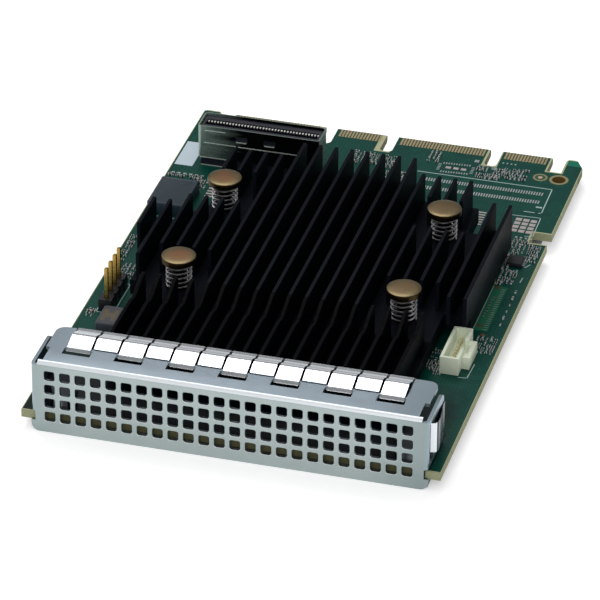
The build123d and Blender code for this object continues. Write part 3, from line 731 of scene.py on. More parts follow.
class CARD_OT_board(Operator):
    """Finish the circuit board, its contacts and its rings"""
    bl_idname = "card.board"
    bl_label = "Board and contacts"

    def execute(self, context):
        dress(board_material(), "circuit_board")
        dress(gold(), "edge_contacts_top", "edge_contacts_bottom")

        def tints(tree, where, colour):
            """The test ring is masked inside, round a dot of copper."""
            toned = lay_over(tree, disc(tree, where, *TEST_RING, 1.02), colour, tone(18, 74, 56))
            return lay_over(tree, disc(tree, where, *TEST_RING, 0.45), toned, tone(196, 160, 136))

        dress(surface("ring_plating", tone(134, 128, 90), 0.4, metallic=0.3, patch=0.8, contrast=0.3, bump=0.2,
                      tints=tints), "plated_rings")
        return {"FINISHED"}


class CARD_OT_pads(Operator):
    """Lay the tinned pads and the printed lines on the board"""
    bl_idname = "card.pads"
    bl_label = "Pads and print"

    def execute(self, context):
        pads = []

        def pad(x, y, width, length):
            """A flat pad whose middle is at x and y."""
            pads.append(block((x - width / 2, y - length / 2, BOARD_TOP - SUNK),
                              (x + width / 2, y + length / 2, BOARD_TOP + 0.03)))
            return pads[-1]

        def pad_row(start, end, count, width, length):
            """Pads at even steps from the first place to the last."""
            step = [(b - a) / (count - 1) for a, b in zip(start, end)]
            repeat(pad(*start, width, length), count, (*step, 0))

        for row in (
            ((10.3, 42.65), (32.8, 42.9), 46, 0.28, 1.2),
            ((10.3, 39.5), (32.8, 39.75), 46, 0.28, 1.2),
            ((31.8, 25.9), (34.6, 25.8), 4, 0.4, 0.5),
            ((12.0, 49.6), (17.0, 49.9), 11, 0.24, 0.6),
            ((12.2, 46.3), (17.2, 46.6), 11, 0.24, 0.6),
            ((11.4, 46.9), (11.4, 49.1), 5, 0.6, 0.24),
            ((17.9, 47.1), (17.9, 49.3), 5, 0.6, 0.24),
            ((-36.8, 32.0), (-31.0, 32.0), 6, 0.6, 0.45),
            ((33.95, -8.2), (33.95, 6.4), 20, 0.7, 0.26),
            ((32.7, -3.6), (32.9, 3.4), 8, 0.5, 0.5),
            ((22.9, 52.7), (25.3, 52.7), 4, 0.3, 0.5),
        ):
            pad_row(*row)
        for x, y in ((17.9, 52.0), (21.8, 50.0), (22.5, 47.3)):
            pad(x, y, 0.9, 0.9)
        place(join(pads), "solder_pads", "pin_gold", tinned())

        # larger bare footprints, a little rosy
        pads = []
        for row_y in (32.5, 31.1, 29.7, 28.3):
            pad_row((30.75, row_y), (33.65, row_y - 0.1), 3, 1.15, 1.0)
        for x in (13.2, 14.7, 16.2):
            pad(x, 48.1, 1.0, 0.8)
        for y in (33.1, 32.2, 31.3, 30.4, 29.5, 28.6):
            pad(23.6, y, 1.5, 0.42)
        for y in (24.8, 25.8, 26.8, 27.9, 28.9):
            pad(-27.7, y, 1.6, 0.5)
        place(join(pads), "bare_footprints", "pin_gold",
              surface("rosy_tin", tone(168, 158, 158), 0.45, metallic=0.3, patch=0.9, contrast=0.5, bump=0.25))

        vias = [turned(((0.5, BOARD_TOP - SUNK), (0.5, BOARD_TOP + 0.02)), spot, 20)
                for spot in ((32.7, 6.9), (32.8, -7.0), (34.1, -10.1))]
        place(join(vias), "brown_vias", "pin_gold",
              surface("old_copper", tone(98, 74, 44), 0.5, metallic=0.4, patch=0.5, contrast=0.4, bump=0.2))

        strokes = []
        for width, points in (
            (0.22, ((8.0, 45.2), (34.1, 45.2))),
            (0.22, ((34.2, 45.0), (34.3, 35.9), (33.8, 35.7))),
            (0.22, ((31.0, 35.7), (32.9, 35.7))),
            (0.5, ((33.0, 37.9), (33.7, 37.9))),
            (0.18, ((29.2, 33.8), (34.6, 34.0), (34.7, 26.9), (33.3, 26.6))),
            (0.18, ((36.6, 16.6), (36.0, 15.4))),
            (0.18, ((36.4, 11.5), (36.3, 9.9))),
            (0.18, ((33.4, -25.4), (34.9, -25.3), (35.1, -20.4))),
            (0.14, ((31.95, -8.7), (31.95, 7.4))),
            (0.18, ((-36.9, 26.9), (-30.0, 26.9))),
            (0.18, ((-36.9, 15.0), (-30.0, 15.0))),
            (0.18, ((-35.4, -10.6), (-32.2, -10.6), (-32.2, -21.4), (-35.4, -21.4), (-35.4, -10.6))),
        ):
            strokes += [self.stroke(start, end, width) for start, end in zip(points, points[1:])]
        place(join(strokes), "printed_lines", "label_paper",
              surface("white_print", colours().ink, 0.6, patch=0.5, contrast=0.3, bump=0.2))
        return {"FINISHED"}

    @staticmethod
    def stroke(start, end, width):
        """A straight printed line between two places on the board."""
        run = Vector((end[0] - start[0], end[1] - start[1]))
        reach = run.length / 2 + width / 2
        line = block((-reach, -width / 2, -SUNK), (reach, width / 2, 0.015))
        middle = ((start[0] + end[0]) / 2 * MM, (start[1] + end[1]) / 2 * MM, BOARD_TOP * MM)
        line.data.transform(Matrix.Translation(middle) @ Matrix.Rotation(run.angle_signed(Vector((1, 0))), 4, "Z"))
        return line


class CARD_OT_chip_parts(Operator):
    """Solder the chip capacitors and resistors on both faces"""
    bl_idname = "card.chip_parts"
    bl_label = "Chip parts"

    @staticmethod
    def fitted(low, high, turn_chance, chooser):
        """Places of chip parts over a region, in rows with a few gaps."""
        pitch_x, pitch_y, filled = 0.84, 0.7, 0.86
        found = []
        x = low[0]
        while x <= high[0]:
            y = low[1]
            while y <= high[1]:
                if chooser.random() < filled:
                    found.append((x, y, 90 if chooser.random() < turn_chance else 0))
                y += pitch_y
            x += pitch_x
        return found

    def execute(self, context):
        chooser = random.Random(7)
        spots = []
        regions = (
            ((31.7, 19.6), (34.6, 24.6), 0.5), ((35.3, 17.4), (37.2, 23.0), 0.2), ((31.5, 9.0), (35.0, 13.6), 0.4),
            ((33.6, -16.2), (37.5, -10.8), 0.4), ((26.4, -24.2), (28.6, -16.8), 0.3),
            ((-37.0, 30.6), (-30.6, 31.6), 0.1), ((-35.0, -9.0), (-31.9, -3.6), 0.5),
            ((8.9, 49.4), (10.6, 53.4), 0.5), ((19.3, 45.8), (21.9, 47.8), 0.3), ((1.6, 40.4), (6.0, 43.4), 0.5),
            ((24.0, 47.0), (28.8, 50.6), 0.4), ((-5.0, 45.0), (3.0, 49.5), 0.4), ((-28.0, 45.6), (-20.0, 48.6), 0.4),
            ((18.9, 48.6), (21.6, 50.6), 0.4), ((22.4, 46.0), (23.4, 49.6), 0.3), ((31.2, 13.8), (33.0, 19.0), 0.4),
            ((31.0, 8.0), (33.0, 9.6), 0.4), ((-31.8, 27.4), (-28.6, 30.4), 0.4), ((29.0, -25.6), (30.6, -13.6), 0.4),
            ((-37.0, -4.0), (-35.4, 7.0), 0.4), ((-36.6, -23.2), (-35.6, -20.6), 0.3),
        )
        for low, high, turn_chance in regions:
            spots += self.fitted(low, high, turn_chance, chooser)
        spots += [(36.4, y, 90) for y in (6.0, 3.6, 1.2, -1.2, -3.6, -6.0)]
        size = {spot: chooser.choice((0.6, 0.7, 0.8, 0.95)) for spot in spots}
        dark = [spot for spot in spots if chooser.random() < 0.3]
        pale = [spot for spot in spots if spot not in dark]
        pitch_below = 3.6
        below = [(x * pitch_below, y * pitch_below - 1.9, 0) for x in range(-2, 3) for y in range(-2, 3)]

        def spread(part, places, z):
            """A copy of one part at every place, each at the size drawn for it."""
            return copies(part, [(x, y, z, turn, size.get((x, y, turn), 1.0)) for x, y, turn in places])

        def bodies(places, z, height):
            part = block((-0.24, -0.17, 0.02), (0.24, 0.17, height))
            round_edges(part, 0.03, 1)
            return spread(part, places, z)

        def ends(places, z, height):
            part = join([block((side * 0.3 - 0.09, -0.19, 0.0), (side * 0.3 + 0.09, 0.19, height + 0.02))
                         for side in (-1, 1)])
            round_edges(part, 0.04, 1)
            return spread(part, places, z)

        capacitor, resistor, capacitor_below = 0.46, 0.3, 0.55
        ceramic = surface("capacitor_ceramic", colours().ceramic, 0.55, patch=0.4, contrast=0.5)
        place(bodies(pale, BOARD_TOP, capacitor), "chip_capacitor_bodies", "capacitor_tan", ceramic,
              "chip_capacitors")
        place(bodies(dark, BOARD_TOP, resistor), "chip_resistor_bodies", "capacitor_tan", black_plastic(),
              "chip_capacitors")
        pale_ends = surface("chip_ends", tone(188, 196, 196), 0.4, metallic=0.2, patch=0.5, contrast=0.8, bump=0.2)
        place(join([ends(pale, BOARD_TOP, capacitor), ends(dark, BOARD_TOP, resistor)]), "chip_part_ends",
              "capacitor_tan", pale_ends, "chip_capacitors")
        under = BOARD_UNDERSIDE - 0.58
        place(bodies(below, under, capacitor_below), "underside_capacitor_bodies", "capacitor_tan", ceramic,
              "underside_capacitors")
        place(ends(below, under, capacitor_below), "underside_capacitor_ends", "capacitor_tan", tinned(),
              "underside_capacitors")
        return {"FINISHED"}


class Vents:
    """The field of square vents in the bracket's face, built up from one of them."""
    columns, rows = 24, 4
    pitch_x, pitch_z = 2.81, 2.78
    opening = 1.95
    centre_x, centre_z = -0.15, 7.35
    face = -57.5
    x = (centre_x - columns * pitch_x / 2, centre_x + columns * pitch_x / 2)
    z = (centre_z - rows * pitch_z / 2, centre_z + rows * pitch_z / 2)

    def field(self):
        """A flat cell with its opening, repeated, thickened, and its punched edges rounded."""
        deselect()
        middle = ((self.x[0] + self.pitch_x / 2) * MM, self.face * MM, (self.z[0] + self.pitch_z / 2) * MM)
        bpy.ops.mesh.primitive_plane_add(size=self.opening * MM, location=middle, rotation=(pi / 2, 0, 0))
        cell = bpy.context.object
        bpy.ops.object.transform_apply(location=True, rotation=True)
        edit_all(cell, "VERT")
        bpy.ops.mesh.bevel(offset=sizes().vent_corner, segments=3, affect="VERTICES")
        leave_edit()

        deselect()
        bpy.ops.mesh.primitive_plane_add(size=1, location=middle, rotation=(pi / 2, 0, 0))
        outer_edge = bpy.context.object
        outer_edge.scale = (self.pitch_x * MM, self.pitch_z * MM, 1)
        bpy.ops.object.transform_apply(location=True, rotation=True, scale=True)
        for loop in (cell, outer_edge):
            edit_all(loop, "EDGE")
            bpy.ops.mesh.delete(type="ONLY_FACE")
            leave_edit()
        cell = join([outer_edge, cell])
        edit_all(cell, "EDGE")
        bpy.ops.mesh.bridge_edge_loops()
        face_outwards()
        if cell.data.polygons[0].normal.y > 0:
            edit_all(cell, "FACE")
            bpy.ops.mesh.flip_normals()
            leave_edit()

        repeat(cell, self.columns, (self.pitch_x, 0, 0))
        repeat(cell, self.rows, (0, 0, self.pitch_z))
        edit_all(cell, "VERT")
        bpy.ops.mesh.remove_doubles(threshold=0.001 * MM)
        leave_edit()
        thicken(cell, BRACKET_SHEET, -1)

        def punched(a, b):
            on_face = abs(a.y - self.face) < 1e-3 and abs(b.y - self.face) < 1e-3
            inside = all(self.at_opening(end) for end in (a, b))
            return on_face and inside

        pick_edges(cell, punched)
        bpy.ops.mesh.bevel(offset=sizes().punch_edge, segments=1)
        leave_edit()
        return cell

    def at_opening(self, point):
        """Whether a point of the face lies on the rim of an opening."""
        off_x = (point.x - self.x[0]) % self.pitch_x - self.pitch_x / 2
        off_z = (point.z - self.z[0]) % self.pitch_z - self.pitch_z / 2
        return max(abs(off_x), abs(off_z)) < self.opening / 2 + 0.01


class CARD_OT_bracket(Operator):
    """Round the vents of the perforated bracket"""
    bl_idname = "card.bracket"
    bl_label = "Bracket"

    def execute(self, context):
        vents = Vents()
        piece = from_frame("io_bracket", flatten=False)
        edit(piece, "FACE")
        for axis, places in ((0, vents.x), (2, vents.z)):
            for where in places:
                point, normal = [0, 0, 0], [0, 0, 0]
                point[axis] = where * MM
                normal[axis] = 1
                bpy.ops.mesh.select_all(action="SELECT")
                bpy.ops.mesh.bisect(plane_co=point, plane_no=normal)
        leave_edit()

        def in_field(centre, normal):
            return (vents.x[0] < centre.x < vents.x[1] and vents.z[0] < centre.z < vents.z[1]
                    and centre.y < vents.face + BRACKET_SHEET + 0.01)

        pick_faces(piece, in_field)
        bpy.ops.mesh.delete(type="FACE")
        leave_edit()
        piece = join([piece, vents.field()])
        place(piece, "perforated_bracket", "bracket_steel", zinc_steel(), "io_bracket")
        dress(fastener_steel(), "bracket_nuts", "bracket_screws")
        return {"FINISHED"}


class CARD_OT_fingers(Operator):
    """Bend the grounding fingers out of bright spring steel"""
    bl_idname = "card.fingers"
    bl_label = "Grounding fingers"

    def execute(self, context):
        flange_top, flange_rear = 14.2, -44.85
        fingers, slit, sheet, gap = 13, 0.45, 0.14, 0.16
        low, high = (corner.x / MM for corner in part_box("top_spring_strip"))
        pitch = (high - low) / fingers
        below = flange_top - BRACKET_SHEET - gap
        clip = ((-47.4, below), (flange_rear + 0.1, below), (flange_rear + gap, flange_top - 0.5),
                (flange_rear + gap, flange_top - 0.02))
        # (y, z) from the flange's upper rear edge: round it, up to the crest and down to the tip
        rise = ((gap, -0.04), (0.15, 0.1), (0.06, gap), (-0.6, gap), (-1.2, 0.2), (-1.9, 0.5), (-2.6, 0.85),
                (-3.2, 0.98), (-3.8, 0.94), (-4.6, 0.75))
        long_run = rise + ((-5.6, 0.5), (-6.6, 0.22), (-7.1, 0.02), (-7.4, -0.3))
        short_run = rise + ((-5.4, 0.5), (-6.2, 0.2))
        strip = [ribbon(clip, low, high, sheet)]
        for index in range(fingers):
            run = short_run if index % 2 else long_run
            start = low + pitch * index + slit / 2
            path = [(flange_rear + y, flange_top + z) for y, z in run]
            strip.append(ribbon(path, start, start + pitch - slit, sheet))
        strip = join(strip)
        round_edges(strip, 0.04, 1)
        place(strip, "top_grounding_fingers", "strip_steel", bright_steel(), "top_spring_strip")

        def tints(tree, where, colour):
            """Painted shade over each side finger behind the slope at its tip, so that only that slope is bright."""
            behind_tip = combine(tree, "GREATER_THAN", in_mm(tree, where, "Y"), -53.75)
            return lay_over(tree, behind_tip, colour, tone(52, 64, 74))

        dress(surface("side_spring_steel", colours().strip, 0.25, metallic=1.0, patch=1.6, contrast=0.12,
                      bump=0.1, tints=tints), "side_spring_left", "side_spring_right")
        return {"FINISHED"}


class CARD_OT_heatsink(Operator):
    """Break the sharp edges of the heatsink and finish it in black"""
    bl_idname = "card.heatsink"
    bl_label = "Heatsink"

    def execute(self, context):
        piece = from_frame("heatsink")
        round_edges(piece, sizes().fin_edge / MM, 1)

        def tints(tree, where, colour):
            """Painted shade where the fins step down and in front of it, on the fins' right sides and on their
            forward slopes.
            """
            black = tone(1, 1, 2)
            y = in_mm(tree, where, "Y")
            # painted shade over the fins in front of the step
            front = combine(tree, "LESS_THAN", y, -27.0)
            toned = lay_over(tree, product(tree, front, 0.8), colour, tone(4, 5, 7))
            # painted shade, near black, along the step
            step_band = rectangle(tree, where, 0.0, -26.2, 34.0, 2.9)
            toned = lay_over(tree, step_band, toned, black)
            # painted shade on the right-facing sides, deepest towards the front
            shade = combine(tree, "ADD", product(tree, ramp(tree, y, 20.0, -10.0), 0.45), 0.4)
            toned = lay_over(tree, product(tree, shade, facing(tree, "X")), toned, tone(2, 9, 12))
            # painted shade on the slopes that face forward and up
            slopes = product(tree, facing(tree, "Y", -1, 0.2), facing(tree, "Z", 1, 0.2))
            return lay_over(tree, slopes, toned, black)

        finish = surface("black_anodised", colours().anodised, 0.42, patch=5.0, contrast=0.3, spread=0.14,
                         lines=(1.0, 0.02, 1.0), line_width=0.09, bump=0.3, gloss=0.02, tints=tints)
        place(piece, "finned_heatsink", "heatsink_black", finish, "heatsink")
        pad = surface("thermal_pad", colours().thermal_pad, 0.8, patch=0.8, contrast=0.3, bump=0.5)
        dress(pad, "controller_pad", "memory_pad")
        dress(black_plastic(), "controller_chip", *[f"memory_chip_{index}" for index in range(1, 6)])
        return {"FINISHED"}


class CARD_OT_push_pins(Operator):
    """Turn the push pins and wind their springs"""
    bl_idname = "card.push_pins"
    bl_label = "Push pins and springs"

    def execute(self, context):
        size = sizes()
        heads_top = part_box("push_pin_rear_left")[1].z / MM
        # how deep below its top a head's underside and the end of its collar are
        underside, collar_end = 1.3, 2.4
        off_middle, rows = 21.0, (-16.8, 13.0)

        def tints(tree, where, colour):
            """Warmer in the middle of each head, with painted shade on its side and down in the spring."""
            clouds = add(tree, "ShaderNodeTexNoise", {"Vector": where, "Scale": 500.0}).outputs["Fac"]
            toned = colour
            for x, warmth in ((-off_middle, 0.34), (off_middle, 0.12)):
                for y in rows:
                    for radius in (1.1, 1.8, 2.5):
                        spot = product(tree, disc(tree, where, x, y, radius), clouds, warmth)
                        toned = lay_over(tree, spot, toned, tone(144, 88, 60))
            # painted shade on the side of each head
            side = opposite(tree, facing(tree, "Z", 1, 0.4))
            toned = lay_over(tree, product(tree, side, 0.9), toned, tone(46, 37, 20))
            # painted shade on all below the head's underside, inside the spring
            inside = combine(tree, "LESS_THAN", in_mm(tree, where, "Z"), heads_top - underside - 0.01)
            return lay_over(tree, inside, toned, tone(26, 21, 14))

        brass = surface("brass", colours().brass, 0.36, metallic=1.0, patch=2.0, contrast=0.4, spread=0.2,
                        line_width=0.3, bump=0.15, tints=tints)

        def shaded(tree, where, colour):
            """A painted dark reflection of the fins on the front of each coil."""
            return lay_over(tree, product(tree, facing(tree, "Y", -1, 0.7), 0.8), colour, tone(14, 14, 16))

        wire_finish = surface("wound_wire", colours().wire, 0.3, metallic=0.8, patch=0.5, contrast=1.0, bump=0.1,
                              tints=shaded)
        head = size.pin_head / MM / 2
        crown = size.head_crown / MM
        for place_name in ("rear_left", "front_left", "rear_right", "front_right"):
            node = f"push_pin_{place_name}"
            low, high = (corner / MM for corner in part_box(node))
            centre = (low + high) / 2
            top = high.z
            rim = top - crown
            # (radius, height): the barb below the board, the stem, the collar and the crowned head
            profile = ((1.1, 0.0), (1.25, 0.05), (2.0, 1.8), (1.95, 1.87),
                       (1.45, 1.91), (1.45, top - collar_end),
                       (1.8, top - collar_end + 0.01), (1.8, top - underside),
                       (head - 0.1, top - underside + 0.01), (head, top - underside + 0.1),
                       (head, rim - 0.22), (head - 0.07, rim - 0.07), (head - 0.25, rim),
                       (head - 0.9, rim + crown * 0.5), (head - 1.8, rim + crown * 0.9), (0.4, top))
            pin = turned(profile, centre, size.roundness)
            place(pin, f"brass_pin_{place_name}", "pin_brass", brass, node)

            node = f"pin_spring_{place_name}"
            low, high = (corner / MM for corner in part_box(node))
            coil = self.coil(size, top - underside - 0.02 - low.z)
            coil.data.transform(Matrix.Translation((centre.x * MM, centre.y * MM, low.z * MM + size.wire / 2)))
            place(coil, f"coil_spring_{place_name}", "spring_wire", wire_finish, node)
        return {"FINISHED"}

    @staticmethod
    def coil(size, height):
        """A spring of round wire that stands on the origin, its height in mm, with closed ends."""
        deselect()
        bpy.ops.mesh.primitive_circle_add(vertices=8, radius=size.wire / 2, rotation=(pi / 2, 0, 0),
                                          location=((size.spring - size.wire) / 2, 0, 0))
        bpy.ops.object.transform_apply(location=True, rotation=True)
        wound = bpy.context.object
        steps = round(22 * size.turns)
        modify(wound, "SCREW", angle=2 * pi * size.turns, screw_offset=height * MM - size.wire, steps=steps,
               render_steps=steps, use_smooth_shade=True)
        edit(wound, "EDGE")
        bpy.ops.mesh.select_non_manifold()
        bpy.ops.mesh.fill()
        face_outwards()
        return wound


class CARD_OT_storage_connector(Operator):
    """Form the shell, body and contacts of the storage connector"""
    bl_idname = "card.storage_connector"
    bl_label = "Storage connector"

    def execute(self, context):
        shell = from_frame("storage_shell")
        low, high = (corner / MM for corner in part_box("storage_shell"))
        round_edges(shell, 0.06, 1)
        # level ridges (from x, to x, z) on the shell's front
        ridges = []
        for x0, x1, z in ((low.x + 1.4, low.x + 5.6, 11.1), (low.x + 1.2, low.x + 7.6, 8.45),
                          (low.x + 8.0, high.x - 3.6, 8.4), (low.x + 0.4, low.x + 6.0, 5.26),
                          (low.x + 0.6, low.x + 5.6, BOARD_TOP + 0.12), (-25.5, -23.5, 9.38), (-20.0, -18.0, 9.38)):
            ridge = block((x0, low.y - 0.1, z - 0.11), (x1, low.y + 0.12, z + 0.11))
            round_edges(ridge, 0.08, 2)
            ridges.append(ridge)

        def tints(tree, where, colour):
            """Painted shade on the shell's front, growing from its left end towards the heatsink, in level streaks.
            """
            reach = combine(tree, "SUBTRACT", in_mm(tree, where, "X"), low.x + 2.0)
            streaks = use(tree, "drawn_lines", {"Vector": where, "Stretch": (0.05, 0.1, 1.0),
                                                "Line Width": 1.2})["Height"]
            uneven = product(tree, combine(tree, "SUBTRACT", streaks, 0.5), 1.6)
            shade = combine(tree, "ADD", combine(tree, "DIVIDE", reach, 6.0), uneven, clamp=True)
            return lay_over(tree, product(tree, shade, facing(tree, "Y", -1)), colour, tone(10, 12, 12))

        place(shell, "connector_shell", "shell_steel",
              surface("formed_shell", colours().shell, 0.28, metallic=0.7, patch=2.0, contrast=0.3,
                      lines=(0.05, 1.0, 1.0), line_width=0.1, bump=0.15, gloss=0.15, tints=tints), "storage_shell")
        # the ridges are a lighter tone than the shell: a painted highlight along each
        place(join(ridges), "shell_ridges", "shell_steel",
              surface("ridge_steel", tone(176, 186, 180), 0.4, metallic=0.5, patch=1.5, contrast=0.5, bump=0.15),
              "storage_shell")
        contacts, pitch, width = 37, 0.6, 0.28
        tip_low, tip_high = (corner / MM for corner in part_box("storage_contacts_rear"))
        tip = block((tip_low.x, tip_low.y - 0.1, tip_high.z - 0.14),
                    (tip_low.x + width, tip_high.y, tip_high.z + 0.04))
        place(repeat(tip, contacts, (pitch, 0, 0)), "rear_contact_tips", "contact_pale",
              surface("bright_tips", tone(226, 226, 220), 0.4, metallic=0.2, patch=1.6, contrast=0.8, bump=0.1))
        dress(surface("slot_plastic", tone(16, 20, 34), 0.4, patch=3.0, contrast=0.3, bump=0.1), "storage_body")
        dress(surface("slot_contacts", tone(46, 52, 66), 0.4, metallic=0.7, patch=0.6, contrast=0.4, bump=0.1),
              "storage_contacts_front", "storage_contacts_rear")
        return {"FINISHED"}


class CARD_OT_headers(Operator):
    """Soften the ivory header, and finish the service pins"""
    bl_idname = "card.headers"
    bl_label = "Headers"

    def execute(self, context):
        nylon = surface("ivory_nylon", colours().nylon, 0.42, patch=1.5, contrast=0.12, line_width=0.1, bump=0.12)
        header = from_frame("header_housing")
        round_edges(header, 0.09, 2)
        place(header, "ivory_header", "header_ivory", nylon, "header_housing")
        base = from_frame("pin_strip_base")
        round_edges(base, 0.08, 2)
        place(base, "service_header_base", "strip_black", black_plastic(), "pin_strip_base")
        pins = surface("gold_pins", tone(206, 172, 96), 0.28, metallic=1.0, patch=0.6, contrast=0.25,
                       lines=(1.0, 1.0, 0.05), line_width=0.06, bump=0.15)
        dress(pins, "pin_strip_pins")
        dress(surface("pale_pins", tone(226, 214, 172), 0.35, metallic=0.5, patch=0.6, contrast=0.5, bump=0.1),
              "header_pins")
        return {"FINISHED"}


class CARD_OT_chips(Operator):
    """Mould the inductors and the leaded chips"""
    bl_idname = "card.chips"
    bl_label = "Inductors and chips"

    def execute(self, context):
        def tints(tree, where, colour):
            """A tan figure like an H on the grey body."""
            bars = [rectangle(tree, where, x, -25.8, half_width, half_length)
                    for x, half_width, half_length in ((-31.35, 1.2, 0.8), (-32.3, 0.45, 2.0), (-30.4, 0.45, 2.0))]
            figure = product(tree, union(tree, *bars), facing(tree, "Z"))
            return blend(tree, figure, rgba(tone(56, 60, 68)), colour)

        moulded = {
            "large_inductor": ("slate_inductor", "inductor_grey",
                               surface("slate_ferrite", colours().ferrite, 0.5, patch=1.6, contrast=0.25,
                                       line_width=0.12, bump=0.4)),
            "small_inductor": ("tan_inductor", "inductor_tan",
                               surface("tan_ferrite", colours().clay, 0.6, patch=0.9, contrast=0.5,
                                       line_width=0.1, bump=0.5, tints=tints)),
        }
        for node, (name, slot, material) in moulded.items():
            piece = from_frame(node)
            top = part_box(node)[1].z / MM
            pick_faces(piece, lambda centre, normal: normal.z > 0.9 and centre.z > top - 0.05)
            bpy.ops.mesh.inset(thickness=0.35 * MM)
            bpy.ops.mesh.inset(thickness=0.1 * MM, depth=-0.06 * MM)
            leave_edit()
            round_edges(piece, 0.05, 2)
            place(piece, name, slot, material, node)

        for node, width in (("clock_chip", 3.0), ("regulator_chip", 4.4)):
            low, high = (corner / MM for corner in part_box(node))
            middle = (low + high) / 2
            body = block((middle.x - width / 2, low.y, BOARD_TOP + 0.12),
                         (middle.x + width / 2, high.y, high.z))
            pick_faces(body, lambda centre, normal: normal.z > 0.9)
            bpy.ops.transform.resize(value=(0.93, 0.92, 1), center_override=middle * MM)
            bpy.ops.mesh.inset(thickness=0.15 * MM)
            leave_edit()
            round_edges(body, 0.05, 2)
            dot = turned(((0.22, high.z - 0.04), (0.22, high.z - 0.005)),
                         (middle.x - width / 2 + 0.65, low.y + 0.6), 16)
            place(join([body, dot]), f"{node}_body", "chip_black", black_plastic(), node)
            leads = [self.lead_row(middle.x + side * width / 2, side, middle.y) for side in (-1, 1)]
            place(join(leads), f"{node}_leads", "chip_black", tinned(), node)
        return {"FINISHED"}

    @staticmethod
    def lead_row(edge, side, middle):
        """Four leads along one side of a chip, each a flat top, a riser and a foot on the board."""
        count, pitch, width = 4, 0.65, 0.3
        first = middle - (count - 1) / 2 * pitch
        parts = []
        for near, far, bottom, top in ((-0.1, 0.3, 0.36, 0.48), (0.2, 0.48, 0.0, 0.14), (0.18, 0.3, 0.05, 0.46)):
            low_x, high_x = sorted((edge + side * near, edge + side * far))
            parts.append(block((low_x, first - width / 2, BOARD_TOP + bottom),
                               (high_x, first + width / 2, BOARD_TOP + top)))
        return repeat(join(parts), count, (0, pitch, 0))


class CARD_OT_label(Operator):
    """Lay the bare paper label beside the storage connector"""
    bl_idname = "card.label"
    bl_label = "Label"

    def execute(self, context):
        paper = from_frame("paper_label")
        round_edges(paper, 0.03, 1)
        place(paper, "bare_label", "label_paper",
              surface("plain_paper", colours().paper, 0.7, patch=2.5, contrast=0.12, line_width=0.15, bump=0.3),
              "paper_label")
        return {"FINISHED"}


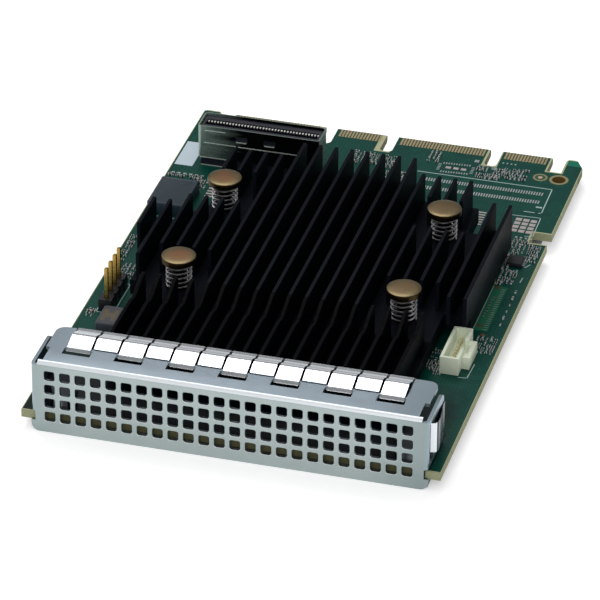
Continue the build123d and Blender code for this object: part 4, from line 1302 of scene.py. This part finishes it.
class CARD_OT_stage(Operator):
    """Set the floor, the soft lamps and the camera"""
    bl_idname = "card.stage"
    bl_label = "Floor, lamps and camera"

    def execute(self, context):
        studio = context.scene.card_studio
        deselect()
        bpy.ops.mesh.primitive_plane_add(size=6, location=(0, 0, 0))
        floor = context.object
        floor.name = "pale_floor"
        floor.data.materials.append(self.floor_material())
        self.set_world(studio)

        aim = Vector((0, 0, 0.006))
        for name, where, size, power in (
            ("top_lamp", (-0.24, 0.46, 0.86), 0.5, studio.top_power),
            ("front_lamp", (0.15, -0.95, 0.75), 0.8, studio.front_power),
            ("side_lamp", (-0.95, -0.1, 0.7), 0.7, studio.side_power),
        ):
            deselect()
            bpy.ops.object.light_add(type="AREA", location=where)
            lamp = context.object
            lamp.name = name
            lamp.data.name = name
            lamp.data.shape = "SQUARE"
            lamp.data.size = size
            lamp.data.energy = power
            lamp.rotation_euler = (aim - Vector(where)).to_track_quat("-Z", "Y").to_euler()

        camera_data = bpy.data.cameras.new("camera")
        camera = bpy.data.objects.new("camera", camera_data)
        context.scene.collection.objects.link(camera)
        camera_data.sensor_width = 36.0
        camera_data.lens = studio.lens
        camera_data.clip_end = 20.0
        az, el, roll = studio.azimuth, studio.elevation, studio.roll
        ahead = Vector((-sin(az) * cos(el), cos(az) * cos(el), -sin(el)))
        level = Vector((cos(az), sin(az), 0))
        upright = level.cross(ahead)
        right = level * cos(roll) + upright * sin(roll)
        up = upright * cos(roll) - level * sin(roll)
        turn = Matrix((right, up, -ahead)).transposed().to_4x4()
        camera.matrix_world = Matrix.Translation(studio.camera) @ turn
        context.scene.camera = camera
        context.scene.view_settings.view_transform = "Standard"
        return {"FINISHED"}

    @staticmethod
    def floor_material():
        """Pale matt floor, a little brighter to the eye except below the card, so that only the shadow shows."""
        material, tree, shader, where = new_material("pale_floor")
        pale_grey = rgba((0.86, 0.86, 0.86))
        finish = uneven(tree, where, pale_grey, patch=60.0, contrast=0.02, roughness=0.9, spread=0.02)
        tree.links.new(finish["Colour"], shader.inputs["Base Color"])
        tree.links.new(finish["Roughness"], shader.inputs["Roughness"])
        shader.inputs["Specular IOR Level"].default_value = 0.0
        path = tree.nodes.new("ShaderNodeLightPath").outputs
        seen = union(tree, path["Is Camera Ray"], path["Is Glossy Ray"])
        open_floor = opposite(tree, rectangle(tree, where, 0.0, 0.0, 35.6, 56.6))
        tree.links.new(product(tree, seen, open_floor), shader.inputs["Emission Color"])
        shader.inputs["Emission Strength"].default_value = 0.38
        return material

    @staticmethod
    def set_world(studio):
        """Even light from all round, white behind the card and dimmer in what shiny faces mirror."""
        world = bpy.data.worlds.new("studio")
        bpy.context.scene.world = world
        world.use_nodes = True
        tree = world.node_tree
        background = tree.nodes["Background"]
        background.inputs["Color"].default_value = (1, 1, 1, 1)
        path = tree.nodes.new("ShaderNodeLightPath").outputs
        shown = union(tree, path["Is Camera Ray"], path["Is Transmission Ray"])
        dim = add(tree, "ShaderNodeMix", {0: path["Is Glossy Ray"], 2: studio.sky, 3: studio.mirrored_sky},
                  data_type="FLOAT").outputs[0]
        strength = add(tree, "ShaderNodeMix", {0: shown, 2: dim, 3: 1.0}, data_type="FLOAT").outputs[0]
        tree.links.new(strength, background.inputs["Strength"])


PIECES = (
    CARD_OT_board, CARD_OT_pads, CARD_OT_chip_parts, CARD_OT_bracket, CARD_OT_fingers, CARD_OT_heatsink,
    CARD_OT_push_pins, CARD_OT_storage_connector, CARD_OT_headers, CARD_OT_chips, CARD_OT_label, CARD_OT_stage,
)


class CARD_PT_panel(Panel):
    """Lists the pieces of the card and their settings"""
    bl_idname = "CARD_PT_panel"
    bl_label = "Controller card"
    bl_space_type = "VIEW_3D"
    bl_region_type = "UI"
    bl_category = "Controller card"

    def draw(self, context):
        for piece in PIECES:
            self.layout.operator(piece.bl_idname)
        for settings in (context.scene.card_sizes, context.scene.card_colours, context.scene.card_studio):
            box = self.layout.box()
            for name in settings.__annotations__:
                box.prop(settings, name)


CLASSES = (CardSizes, CardColours, CardStudio, *PIECES, CARD_PT_panel)


def register():
    for entry in CLASSES:
        bpy.utils.register_class(entry)
    bpy.types.Scene.card_sizes = PointerProperty(type=CardSizes)
    bpy.types.Scene.card_colours = PointerProperty(type=CardColours)
    bpy.types.Scene.card_studio = PointerProperty(type=CardStudio)


def unregister():
    del bpy.types.Scene.card_studio
    del bpy.types.Scene.card_colours
    del bpy.types.Scene.card_sizes
    for entry in reversed(CLASSES):
        bpy.utils.unregister_class(entry)


def main():
    register()
    bpy.ops.card.stage()
    for piece in PIECES[:-1]:
        area, name = piece.bl_idname.split(".")
        getattr(getattr(bpy.ops, area), name)()


if __name__ == "__main__":
    main()
